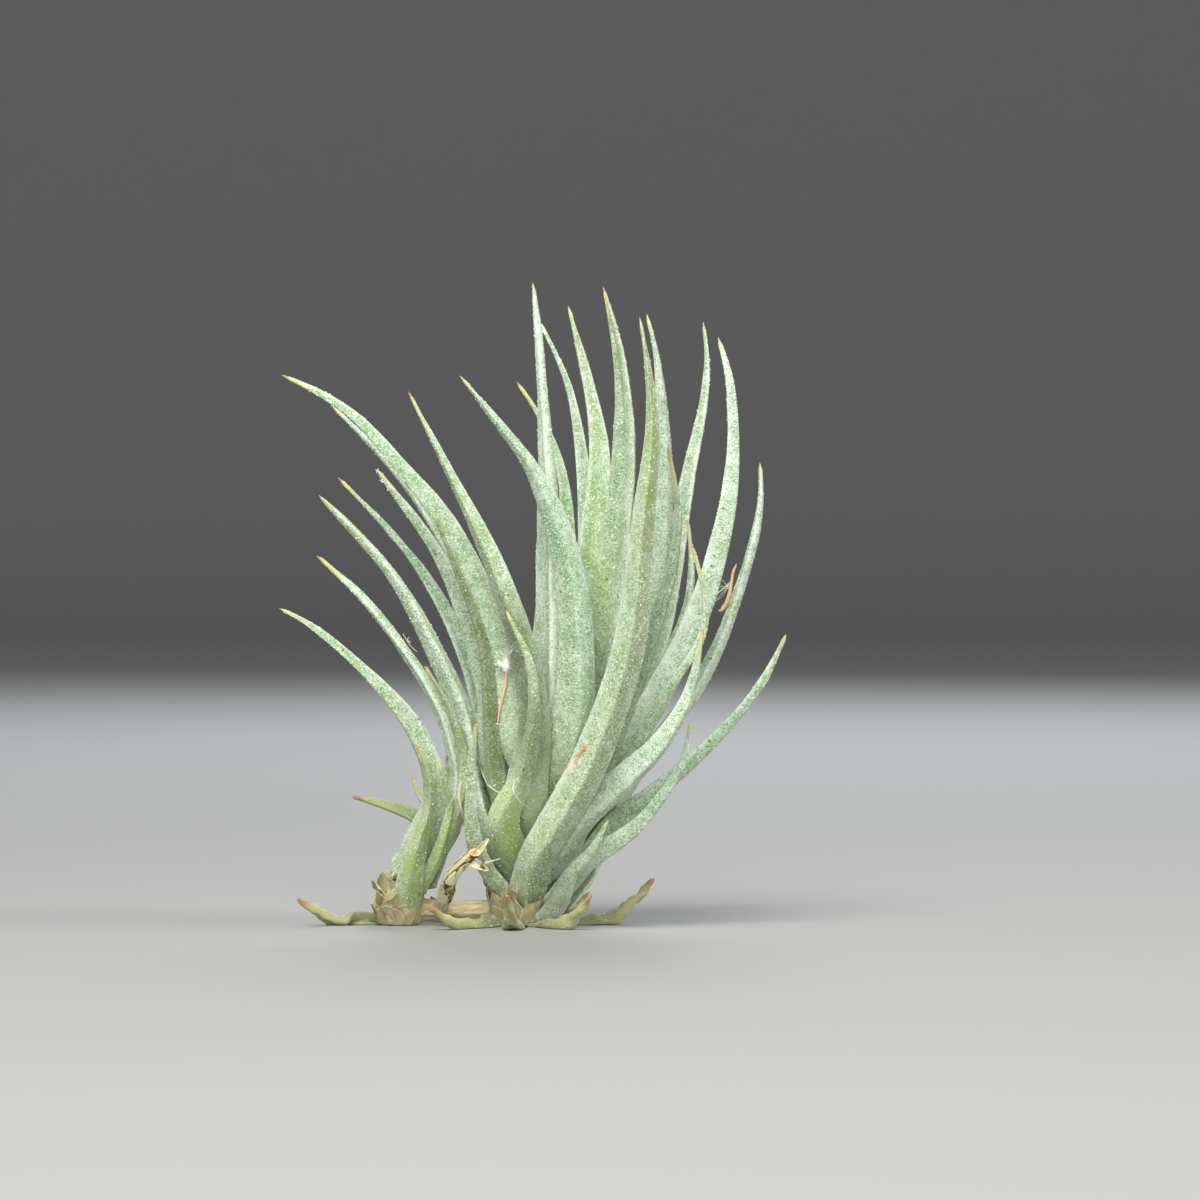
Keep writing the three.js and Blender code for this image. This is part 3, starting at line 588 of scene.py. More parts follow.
def makeLeafSkin():
    # living leaf skin under dry absorbent scales: matt, a fine grey-white felt over soft green
    # flesh that glows a little, with a few bare green dots where scales are missing
    material, tree = newMaterial("scalyLeafSkin")
    layer = {name: addNode(tree, "ShaderNodeAttribute", attribute_name=name).outputs["Fac"]
             for name in ("fromTip", "fromRoot", "share", "innerFace", "tone", "cover", "dry",
                          "spots", "sheath", "shade", "tint", "wither", "midline", "lime")}
    space = addNode(tree, "ShaderNodeAttribute", attribute_name="leafSpace").outputs["Vector"]
    lengthways = addNode(tree, "ShaderNodeMapping", {"Vector": space, "Scale": (1, 0.12, 1)})
    pattern = {name: addNode(tree, "ShaderNodeTexNoise",
                             {"Vector": lengthways if along else space, "Scale": scale,
                              "Detail": detail, "Roughness": rough, "Distortion": bent}).outputs[0]
               for name, (along, scale, detail, rough, bent) in skinSettings["patterns"].items()}

    # flesh: cool or yellow-green in lengthways bands, yellower at the sheath
    swing = addNode(tree, "ShaderNodeMath",
            {0: pattern["bands"], 1: 1.3, 2: layer["tone"]}, operation="MULTIPLY_ADD")
    tone = addNode(tree, "ShaderNodeMath",
            {0: swing, 1: 0.65}, operation="SUBTRACT", use_clamp=True)
    start, full = skinSettings["yellowFrom"]
    low = addNode(tree, "ShaderNodeMapRange",
            {"Value": layer["fromRoot"], "From Min": start, "From Max": full})
    yellow = addNode(tree, "ShaderNodeMath", {0: low, 1: layer["sheath"]}, operation="MULTIPLY")
    # painted shade: one side of a leaf is drawn darker and more olive, with fewer scales, which
    # shows as a line along its keel
    toSide = addNode(tree, "ShaderNodeMath",
            {0: layer["share"], 1: layer["tint"]}, operation="MULTIPLY")
    side = addNode(tree, "ShaderNodeMapRange", {"Value": toSide, "From Min": -0.02,
            "From Max": 0.12}, interpolation_type="SMOOTHSTEP")
    shadedSide = addNode(tree, "ShaderNodeMath", {0: layer["tint"]}, operation="ABSOLUTE")
    shadedSide = addNode(tree, "ShaderNodeMath", {0: side, 1: shadedSide}, operation="MULTIPLY")

    # how much of the flesh the scales hide
    rim = addNode(tree, "ShaderNodeMath", {0: layer["share"], 1: 4.0}, operation="POWER")
    patch = addNode(tree, "ShaderNodeMapRange",
            {"Value": pattern["patches"], "From Min": 0.25, "From Max": 0.75, "To Min": -1})
    reasons = {"rim": rim, "patch": patch, "shadedSide": shadedSide, "yellow": yellow,
               "lime": layer["lime"]}
    cover = layer["cover"]
    for name, strength in skinSettings["coverOf"].items():
        cover = addNode(tree, "ShaderNodeMath",
                {0: reasons[name], 1: strength, 2: cover}, operation="MULTIPLY_ADD")
    least, most = skinSettings["felt"]
    fine = addNode(tree, "ShaderNodeMapRange", {"Value": pattern["felt"], "From Min": 0.3,
            "From Max": 0.7, "To Min": least, "To Max": most})
    scales = addNode(tree, "ShaderNodeMath", {0: cover, 1: fine}, operation="ADD", use_clamp=True)
    # single bare dots and bare patches
    dots = addNode(tree, "ShaderNodeTexVoronoi",
            {"Vector": space, "Scale": skinSettings["dotScale"]})
    chosen = addNode(tree, "ShaderNodeSeparateColor", {0: dots.outputs["Color"]})
    chosen = addNode(tree, "ShaderNodeMath",
            {0: layer["spots"], 1: 0.1, 2: chosen.outputs[0]}, operation="MULTIPLY_ADD")
    chosen = addNode(tree, "ShaderNodeMath", {0: chosen, 1: 0.97}, operation="GREATER_THAN")
    start, full = skinSettings["dotEdge"]
    core = addNode(tree, "ShaderNodeMapRange",
            {"Value": dots.outputs["Distance"], "From Min": start, "From Max": full})
    dot = addNode(tree, "ShaderNodeMath", {0: chosen, 1: core}, operation="MULTIPLY")
    gap = addNode(tree, "ShaderNodeMapRange",
            {"Value": pattern["blotches"], "From Min": 0.6, "From Max": 0.7, "To Max": 0.6})
    gap = addNode(tree, "ShaderNodeMath", {0: gap, 1: layer["spots"]}, operation="MULTIPLY")
    bare = addNode(tree, "ShaderNodeMath", {0: dot, 1: gap}, operation="MAXIMUM")
    hidden = addNode(tree, "ShaderNodeMath", {0: 1, 1: bare}, operation="SUBTRACT")
    scales = addNode(tree, "ShaderNodeMath", {0: scales, 1: hidden}, operation="MULTIPLY")

    # a brown line at the bottom of the channel
    fromMiddle = addNode(tree, "ShaderNodeMath", {0: layer["share"]}, operation="ABSOLUTE")
    line = addNode(tree, "ShaderNodeMapRange",
            {"Value": fromMiddle, "From Min": 0.2, "From Max": 0.02})
    start, full = skinSettings["midlineFrom"]
    upper = addNode(tree, "ShaderNodeMapRange",
            {"Value": layer["fromTip"], "From Min": start, "From Max": full})
    for factor in (layer["innerFace"], layer["midline"], upper):
        line = addNode(tree, "ShaderNodeMath", {0: line, 1: factor}, operation="MULTIPLY")

    # the dried tip starts pale and ends brown, and an old leaf is straw all over
    uneven = addNode(tree, "ShaderNodeMath",
            {0: pattern["blotches"], 1: layer["fromTip"]}, operation="ADD")
    near = addNode(tree, "ShaderNodeMath", {0: uneven, 1: layer["dry"]}, operation="DIVIDE")
    pale, brown = [addNode(tree, "ShaderNodeMapRange", {"Value": near, "From Min": start,
                                                        "From Max": full})
                   for start, full in (skinSettings["paleFrom"], skinSettings["brownFrom"])]
    streaks = addNode(tree, "ShaderNodeMapRange",
            {"Value": pattern["veins"], "From Min": 0.35, "From Max": 0.65})
    straw = addNode(tree, "ShaderNodeMix",
            {0: streaks, 6: leafPaint["strawDark"], 7: leafPaint["straw"]}, data_type="RGBA")
    faded = addNode(tree, "ShaderNodeMath", {0: layer["wither"], 1: 0.85}, operation="MULTIPLY")

    # the colours, each laid over the ones before it
    colour = leafPaint["coolFlesh"]
    for share, paint in ((tone, leafPaint["warmFlesh"]), (yellow, leafPaint["sheath"]),
                         (layer["lime"], leafPaint["lime"]), (shadedSide, leafPaint["shadedSide"]),
                         (bare, leafPaint["bare"]), (scales, leafPaint["scale"]),
                         (line, leafPaint["midline"]), (faded, straw),
                         (pale, leafPaint["paleTip"]), (brown, leafPaint["dryTip"])):
        colour = addNode(tree, "ShaderNodeMix", {0: share, 6: colour, 7: paint}, data_type="RGBA")
    # painted shade: the colour is darkened by the leaf's shade layer
    colour = addNode(tree, "ShaderNodeMix", {0: layer["shade"], 6: colour, 7: leafPaint["shade"]},
            data_type="RGBA", blend_type="MULTIPLY")
    relief = addNode(tree, "ShaderNodeMath",
            {0: pattern["veins"], 1: 0.5, 2: scales}, operation="MULTIPLY_ADD")
    finishMaterial(tree, {"Base Color": colour, "Roughness": 0.78, "Specular IOR Level": 0.3,
            "Subsurface Weight": 0.12, "Subsurface Scale": 0.6 * mm, "Sheen Weight": 0.25,
            "Sheen Roughness": 0.5}, relief, 0.6, skinSettings["relief"])
    return material


def makeTrichome():
    # dry hollow scale cells: papery and grey-white, each a little different
    material, tree = newMaterial("dryTrichome")
    layer = {name: addNode(tree, "ShaderNodeAttribute", attribute_name=name).outputs["Fac"]
             for name in ("fromTip", "dry", "shade")}
    space = addNode(tree, "ShaderNodeAttribute", attribute_name="leafSpace").outputs["Vector"]
    mottle = addNode(tree, "ShaderNodeTexNoise", {"Vector": space, "Scale": 3, "Detail": 1})
    near = addNode(tree, "ShaderNodeMath",
            {0: layer["fromTip"], 1: layer["dry"]}, operation="DIVIDE")
    colour = leafPaint["greyFlake"]
    for value, start, full, name in ((mottle.outputs[0], 0.35, 0.65, "whiteFlake"),
                                     (near, 2.4, 0.8, "tanFlake")):
        share = addNode(tree, "ShaderNodeMapRange",
                {"Value": value, "From Min": start, "From Max": full})
        colour = addNode(tree, "ShaderNodeMix",
                {0: share, 6: colour, 7: leafPaint[name]}, data_type="RGBA")
    # painted shade: each scale is darkened by the shade layer of its leaf
    colour = addNode(tree, "ShaderNodeMix", {0: layer["shade"], 6: colour, 7: leafPaint["shade"]},
            data_type="RGBA", blend_type="MULTIPLY")
    finishMaterial(tree, {"Base Color": colour, "Roughness": 0.7, "Specular IOR Level": 0.3,
            "Sheen Weight": 0.2})
    return material


flakeSettings = {
    "spacing": 0.24,       # mm at least between two loose scales
    "mostPerMetre": 2.4e7,     # in a square metre, where the cover is full
    "radius": 0.1,         # mm
    "rise": 0.085,         # mm
    "sides": 6,
    "lean": 0.5,           # radians either way
    "sizes": (0.6, 1.25),
    "seed": 7,
}


def makeScaleScatter(trichome):
    # shield-shaped scales, laid on the leaf like loose roof tiles
    tree = bpy.data.node_groups.new("scaleScatter", "GeometryNodeTree")
    for way in ("INPUT", "OUTPUT"):
        tree.interface.new_socket("Geometry", in_out=way, socket_type="NodeSocketGeometry")
    source = addNode(tree, "NodeGroupInput")
    density = addNode(tree, "GeometryNodeInputNamedAttribute",
            {"Name": "cover"}, data_type="FLOAT")
    space = addNode(tree, "GeometryNodeInputNamedAttribute",
            {"Name": "leafSpace"}, data_type="FLOAT_VECTOR")
    patch = addNode(tree, "ShaderNodeTexNoise",
            {"Vector": space.outputs[0], "Scale": 0.9, "Detail": 2})
    chance = addNode(tree, "ShaderNodeMath",
            {0: patch.outputs[0], 1: density.outputs[0]}, operation="MULTIPLY")
    points = addNode(tree, "GeometryNodeDistributePointsOnFaces",
            {"Mesh": source.outputs[0], "Distance Min": flakeSettings["spacing"] * mm,
             "Density Max": flakeSettings["mostPerMetre"], "Density Factor": chance,
             "Seed": flakeSettings["seed"]}, distribute_method="POISSON")
    scale = addNode(tree, "GeometryNodeMeshCone",
            {"Vertices": flakeSettings["sides"], "Radius Top": 0.0,
             "Radius Bottom": flakeSettings["radius"] * mm,
             "Depth": flakeSettings["rise"] * mm}, fill_type="NONE")
    tilt = flakeSettings["lean"]
    lean = addNode(tree, "FunctionNodeRandomValue",
            {0: (-tilt, -tilt, 0), 1: (tilt, tilt, 6.28)}, data_type="FLOAT_VECTOR")
    turned = addNode(tree, "FunctionNodeRotateRotation",
            {"Rotation": points.outputs["Rotation"], "Rotate By": lean.outputs[0]},
            rotation_space="LOCAL")
    smallest, largest = flakeSettings["sizes"]
    size = addNode(tree, "FunctionNodeRandomValue", {2: smallest, 3: largest}, data_type="FLOAT")
    laid = addNode(tree, "GeometryNodeInstanceOnPoints",
            {"Points": points.outputs["Points"], "Instance": scale.outputs["Mesh"],
             "Rotation": turned.outputs[0], "Scale": size.outputs[1]})
    real = addNode(tree, "GeometryNodeRealizeInstances", {"Geometry": laid.outputs[0]})
    finish = addNode(tree, "GeometryNodeSetMaterial",
            {"Geometry": real.outputs[0], "Material": trichome})
    both = addNode(tree, "GeometryNodeJoinGeometry", {0: source.outputs[0]})
    tree.links.new(finish.outputs[0], both.inputs[0])
    addNode(tree, "NodeGroupOutput", {0: both.outputs[0]})
    return tree


leafSkin = makeLeafSkin()
trichome = makeTrichome()
scatter = makeScaleScatter(trichome)
leafNames = [name for name in sorted(nodes) if "leaf" in name]
leaves = {}
for index, name in enumerate(leafNames):
    old = "ground_leaf" in name
    look = dict(plainLook, **(oldLook if old else leafLooks.get(name, {})))
    foot = stemFeet["side" if name.startswith("side") else "main"]
    piece = copyOfNode(name, "scaly_" + name)
    piece.data.materials.append(leafSkin)
    solid = measureLeaf(piece, foot)
    applyModifier(piece, "SUBSURF", levels=2, render_levels=2)
    shapeLeaf(piece, solid, foot, look, limePatches.get(name, []), index)
    pick(piece)
    bpy.ops.object.shade_smooth()
    applyModifier(piece, "NODES", node_group=scatter)
    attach(piece, "root")
    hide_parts(name)
    leaves[name] = piece
print("leaves:", len(leaves))


# The stem is the solid, smoothed and roughened, with its old dry sheaths round it.
stemSettings = {
    "barkDepth": 0.14,         # mm
    "ringSpacing": 1.1,        # mm between leaf scars
    "ridgeSpacing": 0.8,       # mm
    "radius": 2.4,             # mm, about which the bark's pattern is wrapped
    "runner": (-9, -2.6),      # mm, where the stem lies along the ground
    "shoots": {"main": 2.5, "side": 1.6},    # mm, radius that the sheaths stand at
    "sheathLength": 3.3,       # mm
    "sheathWidth": 3.3,        # mm
    "sheathThickness": 0.09,   # mm
    "sheathCurve": 2.9,        # mm, radius
    # shoot, height in mm, how many sheaths round it, how far they lean out in degrees
    "rows": [("main", 0.0, 9, 24), ("main", 0.8, 9, 15), ("main", 1.8, 8, 7),
             ("side", 0.0, 7, 24), ("side", 0.7, 7, 14), ("side", 1.5, 6, 6),
             ("side", 2.3, 4, 4)],
}
stemColours = {"dark": "#A08D66", "pale": "#D6CBA6", "green": "#AEB27C", "brown": "#80664A"}


def makeFibre(name, greenness):
    # dead leaf base or old stem: matt, papery fibre in long streaks from straw to brown, and
    # still a little green where it lived last
    material, tree = newMaterial(name)
    space = addNode(tree, "ShaderNodeAttribute", attribute_name="fibreSpace").outputs["Vector"]
    drawn = addNode(tree, "ShaderNodeMapping", {"Vector": space, "Scale": (1, 0.14, 1)})
    strands = addNode(tree, "ShaderNodeTexNoise",
            {"Vector": drawn, "Scale": 4.5, "Detail": 4, "Roughness": 0.65})
    stains = addNode(tree, "ShaderNodeTexNoise", {"Vector": space, "Scale": 0.8, "Detail": 3})
    colour = linear(stemColours["dark"])
    for stain, pattern, start, full, most in (("pale", strands, 0.35, 0.66, 1),
                                              ("green", stains, 0.4, 0.65, greenness),
                                              ("brown", stains, 0.42, 0.3, 0.7)):
        share = addNode(tree, "ShaderNodeMapRange",
                {"Value": pattern.outputs[0], "To Max": most, "From Min": start, "From Max": full})
        colour = addNode(tree, "ShaderNodeMix",
                {0: share, 6: colour, 7: linear(stemColours[stain])}, data_type="RGBA")
    finishMaterial(tree, {"Base Color": colour, "Roughness": 0.85, "Specular IOR Level": 0.25},
            strands.outputs[0], 0.7, 0.08)
    return material


oldStemFibre = makeFibre("oldStemFibre", 0.35)
paperySheath = makeFibre("paperySheath", 0.7)

stemPiece = copyOfNode("stem", "fibrousStem")
stemPiece.data.materials.append(oldStemFibre)
applyModifier(stemPiece, "SUBSURF", levels=2, render_levels=2)
spots = readPoints(stemPiece.data)
chance = random.Random(3)
turn = np.arctan2(spots[:, 1], spots[:, 0])
rings = waver(spots[:, 2], stemSettings["ringSpacing"] * mm, chance)
around = turn * stemSettings["radius"] * mm
ridges = waver(around, stemSettings["ridgeSpacing"] * mm, chance)
runnerStart, runnerEnd = stemSettings["runner"]
runner = (spots[:, 0] < runnerEnd * mm) & (spots[:, 0] > runnerStart * mm)
depth = stemSettings["barkDepth"] * mm * (0.6 * rings + 0.4 * ridges)
spots[:, 1] += np.where(runner, 0.8, 0.5) * depth * np.sign(spots[:, 1])
spots[:, 0] += np.where(runner, 0, 0.5) * depth * np.sign(spots[:, 0])
spots[:, 2] = np.maximum(0, spots[:, 2] + np.where(runner, 0.6 * depth, 0))
writePoints(stemPiece.data, spots)
lengthways = np.where(runner[:, None], spots[:, [1, 0, 2]],
                      np.stack([around, spots[:, 2], spots[:, 0] * 0], axis=1))
writeLayer(stemPiece.data, "fibreSpace", lengthways / mm)
pick(stemPiece)
bpy.ops.object.shade_smooth()
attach(stemPiece, "root")
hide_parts("stem")


def makeSheath(index, chance):
    # one papery leaf base: broad and clasping below, split and curled at its end
    deselectAll()
    bpy.ops.mesh.primitive_grid_add(x_subdivisions=9, y_subdivisions=9, size=1)
    sheath = bpy.context.object
    sheath.name = f"sheath{index}"
    spots = readPoints(sheath.data)
    share, up = spots[:, 0] * 2, spots[:, 1] + 0.5
    length = stemSettings["sheathLength"] * chance.uniform(0.6, 1.05) * mm
    width = stemSettings["sheathWidth"] * chance.uniform(0.75, 1.05) * mm
    narrow = 1 - up ** 2.6 * chance.uniform(0.35, 0.8)
    ragged = 1 - (0.22 * (0.5 + 0.5 * waver(share, 0.4, chance)) + 0.2 * share ** 2) * up
    x = share * width / 2 * narrow
    z = up * length * ragged
    bend = stemSettings["sheathCurve"] * mm
    back = bend * (1 - np.cos(x / bend))
    out = (0.02 * up + 0.1 * up ** 3 * chance.uniform(-0.4, 1.6)) * length
    crumple = 0.12 * mm * waver(z + x, 2.1 * mm, chance) * up
    writePoints(sheath.data, np.stack([x, out + crumple - back, z], axis=1))
    shift = np.array([chance.uniform(0, 40) for _ in range(3)])
    writeLayer(sheath.data, "fibreSpace", np.stack([x, z, x * 0], axis=1) / mm + shift)
    sheath.data.materials.append(paperySheath)
    applyModifier(sheath, "SOLIDIFY", thickness=stemSettings["sheathThickness"] * mm, offset=0)
    applyModifier(sheath, "SUBSURF", levels=1, render_levels=1)
    bpy.ops.object.shade_smooth()
    return sheath


def placeSheath(sheath, base, side, lean):
    # stands it on the stem, facing away, and keeps it off the ground
    sheath.data.transform(Matrix.Translation(base) @ Matrix.Rotation(side, 4, "Z")
                          @ Matrix.Rotation(-lean, 4, "X"))
    spots = readPoints(sheath.data)
    spots[:, 2] = np.maximum(spots[:, 2], 0.04 * mm)
    writePoints(sheath.data, spots)


chance = random.Random(11)
sheaths = []
for shoot, height, count, lean in stemSettings["rows"]:
    centre = stemFeet[shoot] + Vector((0, 0, height * mm))
    radius = stemSettings["shoots"][shoot] * mm
    start = chance.uniform(0, 360)
    for k in range(count):
        side = math.radians(start + 360 * (k + chance.uniform(-0.2, 0.2)) / count)
        # a sheath faces along +Y before it is turned
        base = centre + Vector((-math.sin(side), math.cos(side), 0)) * radius
        sheath = makeSheath(len(sheaths), chance)
        placeSheath(sheath, base, side, math.radians(lean * chance.uniform(0.6, 1.3)))
        sheaths.append(sheath)
drySheaths = joinPieces(sheaths, "drySheaths")
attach(drySheaths, "root")
print("stem and sheaths:", len(drySheaths.data.polygons))


# The dry stump of the old flower stalk: a fibrous stalk with a pale cut end and papery bracts
# round it.
stumpSettings = {
    "path": [(-7.2, -1.35, 1.7), (-6.7, -3.4, 2.9), (-6.0, -5.9, 4.8), (-3.95, -7.3, 6.95)],  # mm
    "radii": [0.62, 0.64, 0.66, 0.6, 0.44, 0.46],   # mm, evenly spaced from the foot to the cut
    "sides": 28,
    "steps": 40,
    "cutFaces": (0.2, -0.72, 0.66),    # the way that the cut end faces
    "cutRings": (0.1, 0.14, 0.2, 0.22, 0.2),    # widths, as shares of the stalk's radius
    "pithDepth": 0.2,      # mm
    "length": 8.4,         # mm
    "bractThickness": 0.07,    # mm
    # where along the stalk each bract starts and ends, which side it covers in degrees, how far
    # round it reaches, and how far its end stands off in mm
    "wraps": [(0.05, 0.4, 200, 150, 0.1), (0.22, 0.56, 60, 150, 0.12), (0.4, 0.78, 250, 120, 0.14),
              (0.56, 0.9, 120, 110, 0.08), (0.62, 0.95, 330, 80, 0.16)],
    # loose ends of bracts: start, end, width and curl in mm, and how green they are
    "ends": [((-4.1, -7.0, 6.5), (-2.72, -6.9, 8.15), 0.75, 0.12, 1),
             ((-4.4, -7.0, 6.3), (-2.75, -7.5, 5.35), 0.95, 0.12, 0.2),
             ((-3.1, -7.5, 6.0), (-1.6, -7.7, 6.45), 0.16, 0, 0.1)],
}
stumpColours = {"stalk": "#D3CF9F", "green": "#B4BB80", "brown": "#64371C", "rim": "#EAD9B4",
                "pith": "#E29A45", "paper": "#E0DDB8", "tip": "#E8D6C6"}


def throughPoints(points, count):
    # an even curve through a few points
    points = np.array(points, dtype=float)
    way = np.concatenate([[0], np.cumsum(np.linalg.norm(np.diff(points, axis=0), axis=1))])
    return smoothAlong(np.linspace(0, way[-1], count), way, points)


def frameAlong(path, share):
    # the middle, the way ahead and two ways across at any share of a path
    steps = np.linspace(0, 1, len(path))
    ahead = unit(np.gradient(path, axis=0))
    side = unit(np.cross(ahead, (0.2, 0.9, 0.3)))
    other = np.cross(ahead, side)
    return [np.stack([np.interp(share, steps, values[:, k]) for k in range(3)], axis=1)
            for values in (path, ahead, side, other)]


def layAlong(piece, path, radii):
    # lays a standing cylinder of unit size along a path
    spots = readPoints(piece.data)
    share = np.clip(spots[:, 2], 0, 1)
    centre, ahead, side, other = frameAlong(path, share)
    reach = np.interp(share, np.linspace(0, 1, len(radii)), radii)[:, None]
    writePoints(piece.data, centre + side * spots[:, :1] * reach + other * spots[:, 1:2] * reach)
    return share, ahead


def addTube(name, sides, steps):
    # a standing cylinder of unit size with rings along it
    deselectAll()
    bpy.ops.mesh.primitive_cylinder_add(vertices=sides, radius=1, depth=1, location=(0, 0, 0.5),
                                        end_fill_type="NGON")
    tube = bpy.context.object
    tube.name = name
    bpy.ops.object.transform_apply(location=True)
    longEdges = [edge.index for edge in tube.data.edges
                 if abs(tube.data.vertices[edge.vertices[0]].co.z
                        - tube.data.vertices[edge.vertices[1]].co.z) > 0.5]

    def addRings():
        chooseInEditMode(tube, "edges", longEdges)
        bpy.ops.mesh.subdivide(number_cuts=steps - 1)

    inEditMode(tube, addRings)
    return tube


def makeStalk():
    # cut then dried stalk: matt cream-green fibre, dark brown bruises, orange pith in the cut
    material, tree = newMaterial("driedFlowerStalk")
    layer = {name: addNode(tree, "ShaderNodeAttribute", attribute_name=name).outputs["Fac"]
             for name in ("cutFace", "fromCore", "bract", "bruise", "paleEnd")}
    space = addNode(tree, "ShaderNodeAttribute", attribute_name="fibreSpace").outputs["Vector"]
    drawn = addNode(tree, "ShaderNodeMapping", {"Vector": space, "Scale": (1, 0.2, 1)})
    strands = addNode(tree, "ShaderNodeTexNoise", {"Vector": drawn, "Scale": 6, "Detail": 3})
    stains = addNode(tree, "ShaderNodeTexNoise", {"Vector": space, "Scale": 1.2, "Detail": 3})
    streak = addNode(tree, "ShaderNodeMapRange",
            {"Value": strands.outputs[0], "From Min": 0.35, "From Max": 0.65})
    uneven = addNode(tree, "ShaderNodeMath",
            {0: stains.outputs[0], 1: layer["bruise"]}, operation="ADD")
    uneven = addNode(tree, "ShaderNodeMath",
            {0: strands.outputs[0], 1: 0.35, 2: uneven}, operation="MULTIPLY_ADD")
    bruise = addNode(tree, "ShaderNodeMapRange",
            {"Value": uneven, "From Min": 0.86, "From Max": 0.96, "To Max": 0.95})
    rough = addNode(tree, "ShaderNodeMath",
            {0: strands.outputs[0], 1: 0.5, 2: layer["fromCore"]}, operation="MULTIPLY_ADD")
    inPith = addNode(tree, "ShaderNodeMapRange",
            {"Value": rough, "From Min": 1.02, "From Max": 0.78})
    paint = {name: linear(colour) for name, colour in stumpColours.items()}
    face = addNode(tree, "ShaderNodeMix",
            {0: inPith, 6: paint["rim"], 7: paint["pith"]}, data_type="RGBA")
    colour = paint["green"]
    for share, nextColour in ((streak, paint["stalk"]), (layer["bract"], paint["paper"]),
                              (layer["paleEnd"], paint["tip"]), (bruise, paint["brown"]),
                              (layer["cutFace"], face)):
        colour = addNode(tree, "ShaderNodeMix",
                {0: share, 6: colour, 7: nextColour}, data_type="RGBA")
    finishMaterial(tree, {"Base Color": colour, "Roughness": 0.8, "Specular IOR Level": 0.25},
            strands.outputs[0], 0.6, 0.05)
    return material


driedStalk = makeStalk()
stump = addTube("cutFlowerStalk", stumpSettings["sides"], stumpSettings["steps"])
cutIndex = [face.index for face in stump.data.polygons if face.normal.z > 0.9][:1]


def sinkTheCut():
    # rings in the cut end, for its rim and its sunken pith
    chooseInEditMode(stump, "polygons", cutIndex)
    for thickness in stumpSettings["cutRings"]:
        bpy.ops.mesh.inset(thickness=thickness)
    bpy.ops.mesh.poke()


inEditMode(stump, sinkTheCut)
spots = readPoints(stump.data)
chance = random.Random(5)
turn = np.arctan2(spots[:, 1], spots[:, 0])
reach = np.hypot(spots[:, 0], spots[:, 1])
atCut = spots[:, 2] > 0.999
cut = atCut & (reach < 0.95)
ribs = 1 + 0.05 * waver(turn, 0.7, chance) + 0.05 * waver(spots[:, 2] + turn * 0.05, 0.14, chance)
spots[:, :2] *= ribs[:, None]
writePoints(stump.data, spots)
path = throughPoints(stumpSettings["path"], 60) * mm
radii = np.array(stumpSettings["radii"]) * mm
share, ahead = layAlong(stump, path, radii)
spots = readPoints(stump.data)
facing = unit(np.array(stumpSettings["cutFaces"]))
# the last bit is cut aslant, and its pith is shrunk and rough
slide = -((spots - path[-1]) @ facing) / (ahead[-1] @ facing)
sunk = np.where(cut, stumpSettings["pithDepth"] * mm * smoothStep((0.86 - reach) / 0.5)
                + 0.03 * mm * waver(turn + reach * 4, 0.9, chance), 0)
spots = spots + ahead * (np.where(atCut, slide, 0) - sunk)[:, None]
writePoints(stump.data, spots)
# it is browner underneath, and most near the cut
under = spots[:, 2] < np.interp(share, np.linspace(0, 1, len(path)), path[:, 2])
bruise = np.where(under, 0.26, 0.02) * smoothStep((share - 0.2) / 0.3)
bruise += np.where(under, 0.14, 0) * smoothStep((share - 0.7) / 0.2)
fibreSpace = np.stack([turn * 0.5, share * stumpSettings["length"], reach * 0.4], axis=1)
for name, values in (("fibreSpace", fibreSpace), ("cutFace", cut.astype(float)),
                     ("fromCore", reach), ("bract", 0), ("paleEnd", 0), ("bruise", bruise)):
    writeLayer(stump.data, name, values)
stump.data.materials.append(driedStalk)
pick(stump)
bpy.ops.object.shade_smooth_by_angle(angle=math.radians(50))


def finishBract(bract, spots, across, up, length, greenness, chance):
    # gives a bract its points, thickness and the layers of its material
    writePoints(bract.data, spots)
    fibreSpace = np.stack([across, up * length, up * 0], axis=1) + chance.uniform(0, 20)
    for name, values in (("fibreSpace", fibreSpace), ("cutFace", 0), ("fromCore", 0),
                         ("bract", 0.9 * (1 - greenness)),
                         ("paleEnd", greenness * smoothStep((up - 0.6) / 0.3)),
                         ("bruise", 0.2 * smoothStep((up - 0.25) / 0.4) * (1 - greenness))):
        writeLayer(bract.data, name, values)
    bract.data.materials.append(driedStalk)
    applyModifier(bract, "SOLIDIFY", thickness=stumpSettings["bractThickness"] * mm, offset=0)
    applyModifier(bract, "SUBSURF", levels=1, render_levels=1)
    bpy.ops.object.shade_smooth()


def addStrip(name):
    # a flat strip and its shares across (-1 to 1) and along (0 to 1)
    deselectAll()
    bpy.ops.mesh.primitive_grid_add(x_subdivisions=9, y_subdivisions=12, size=1)
    strip = bpy.context.object
    strip.name = name
    flat = readPoints(strip.data)
    return strip, flat[:, 0] * 2, flat[:, 1] + 0.5


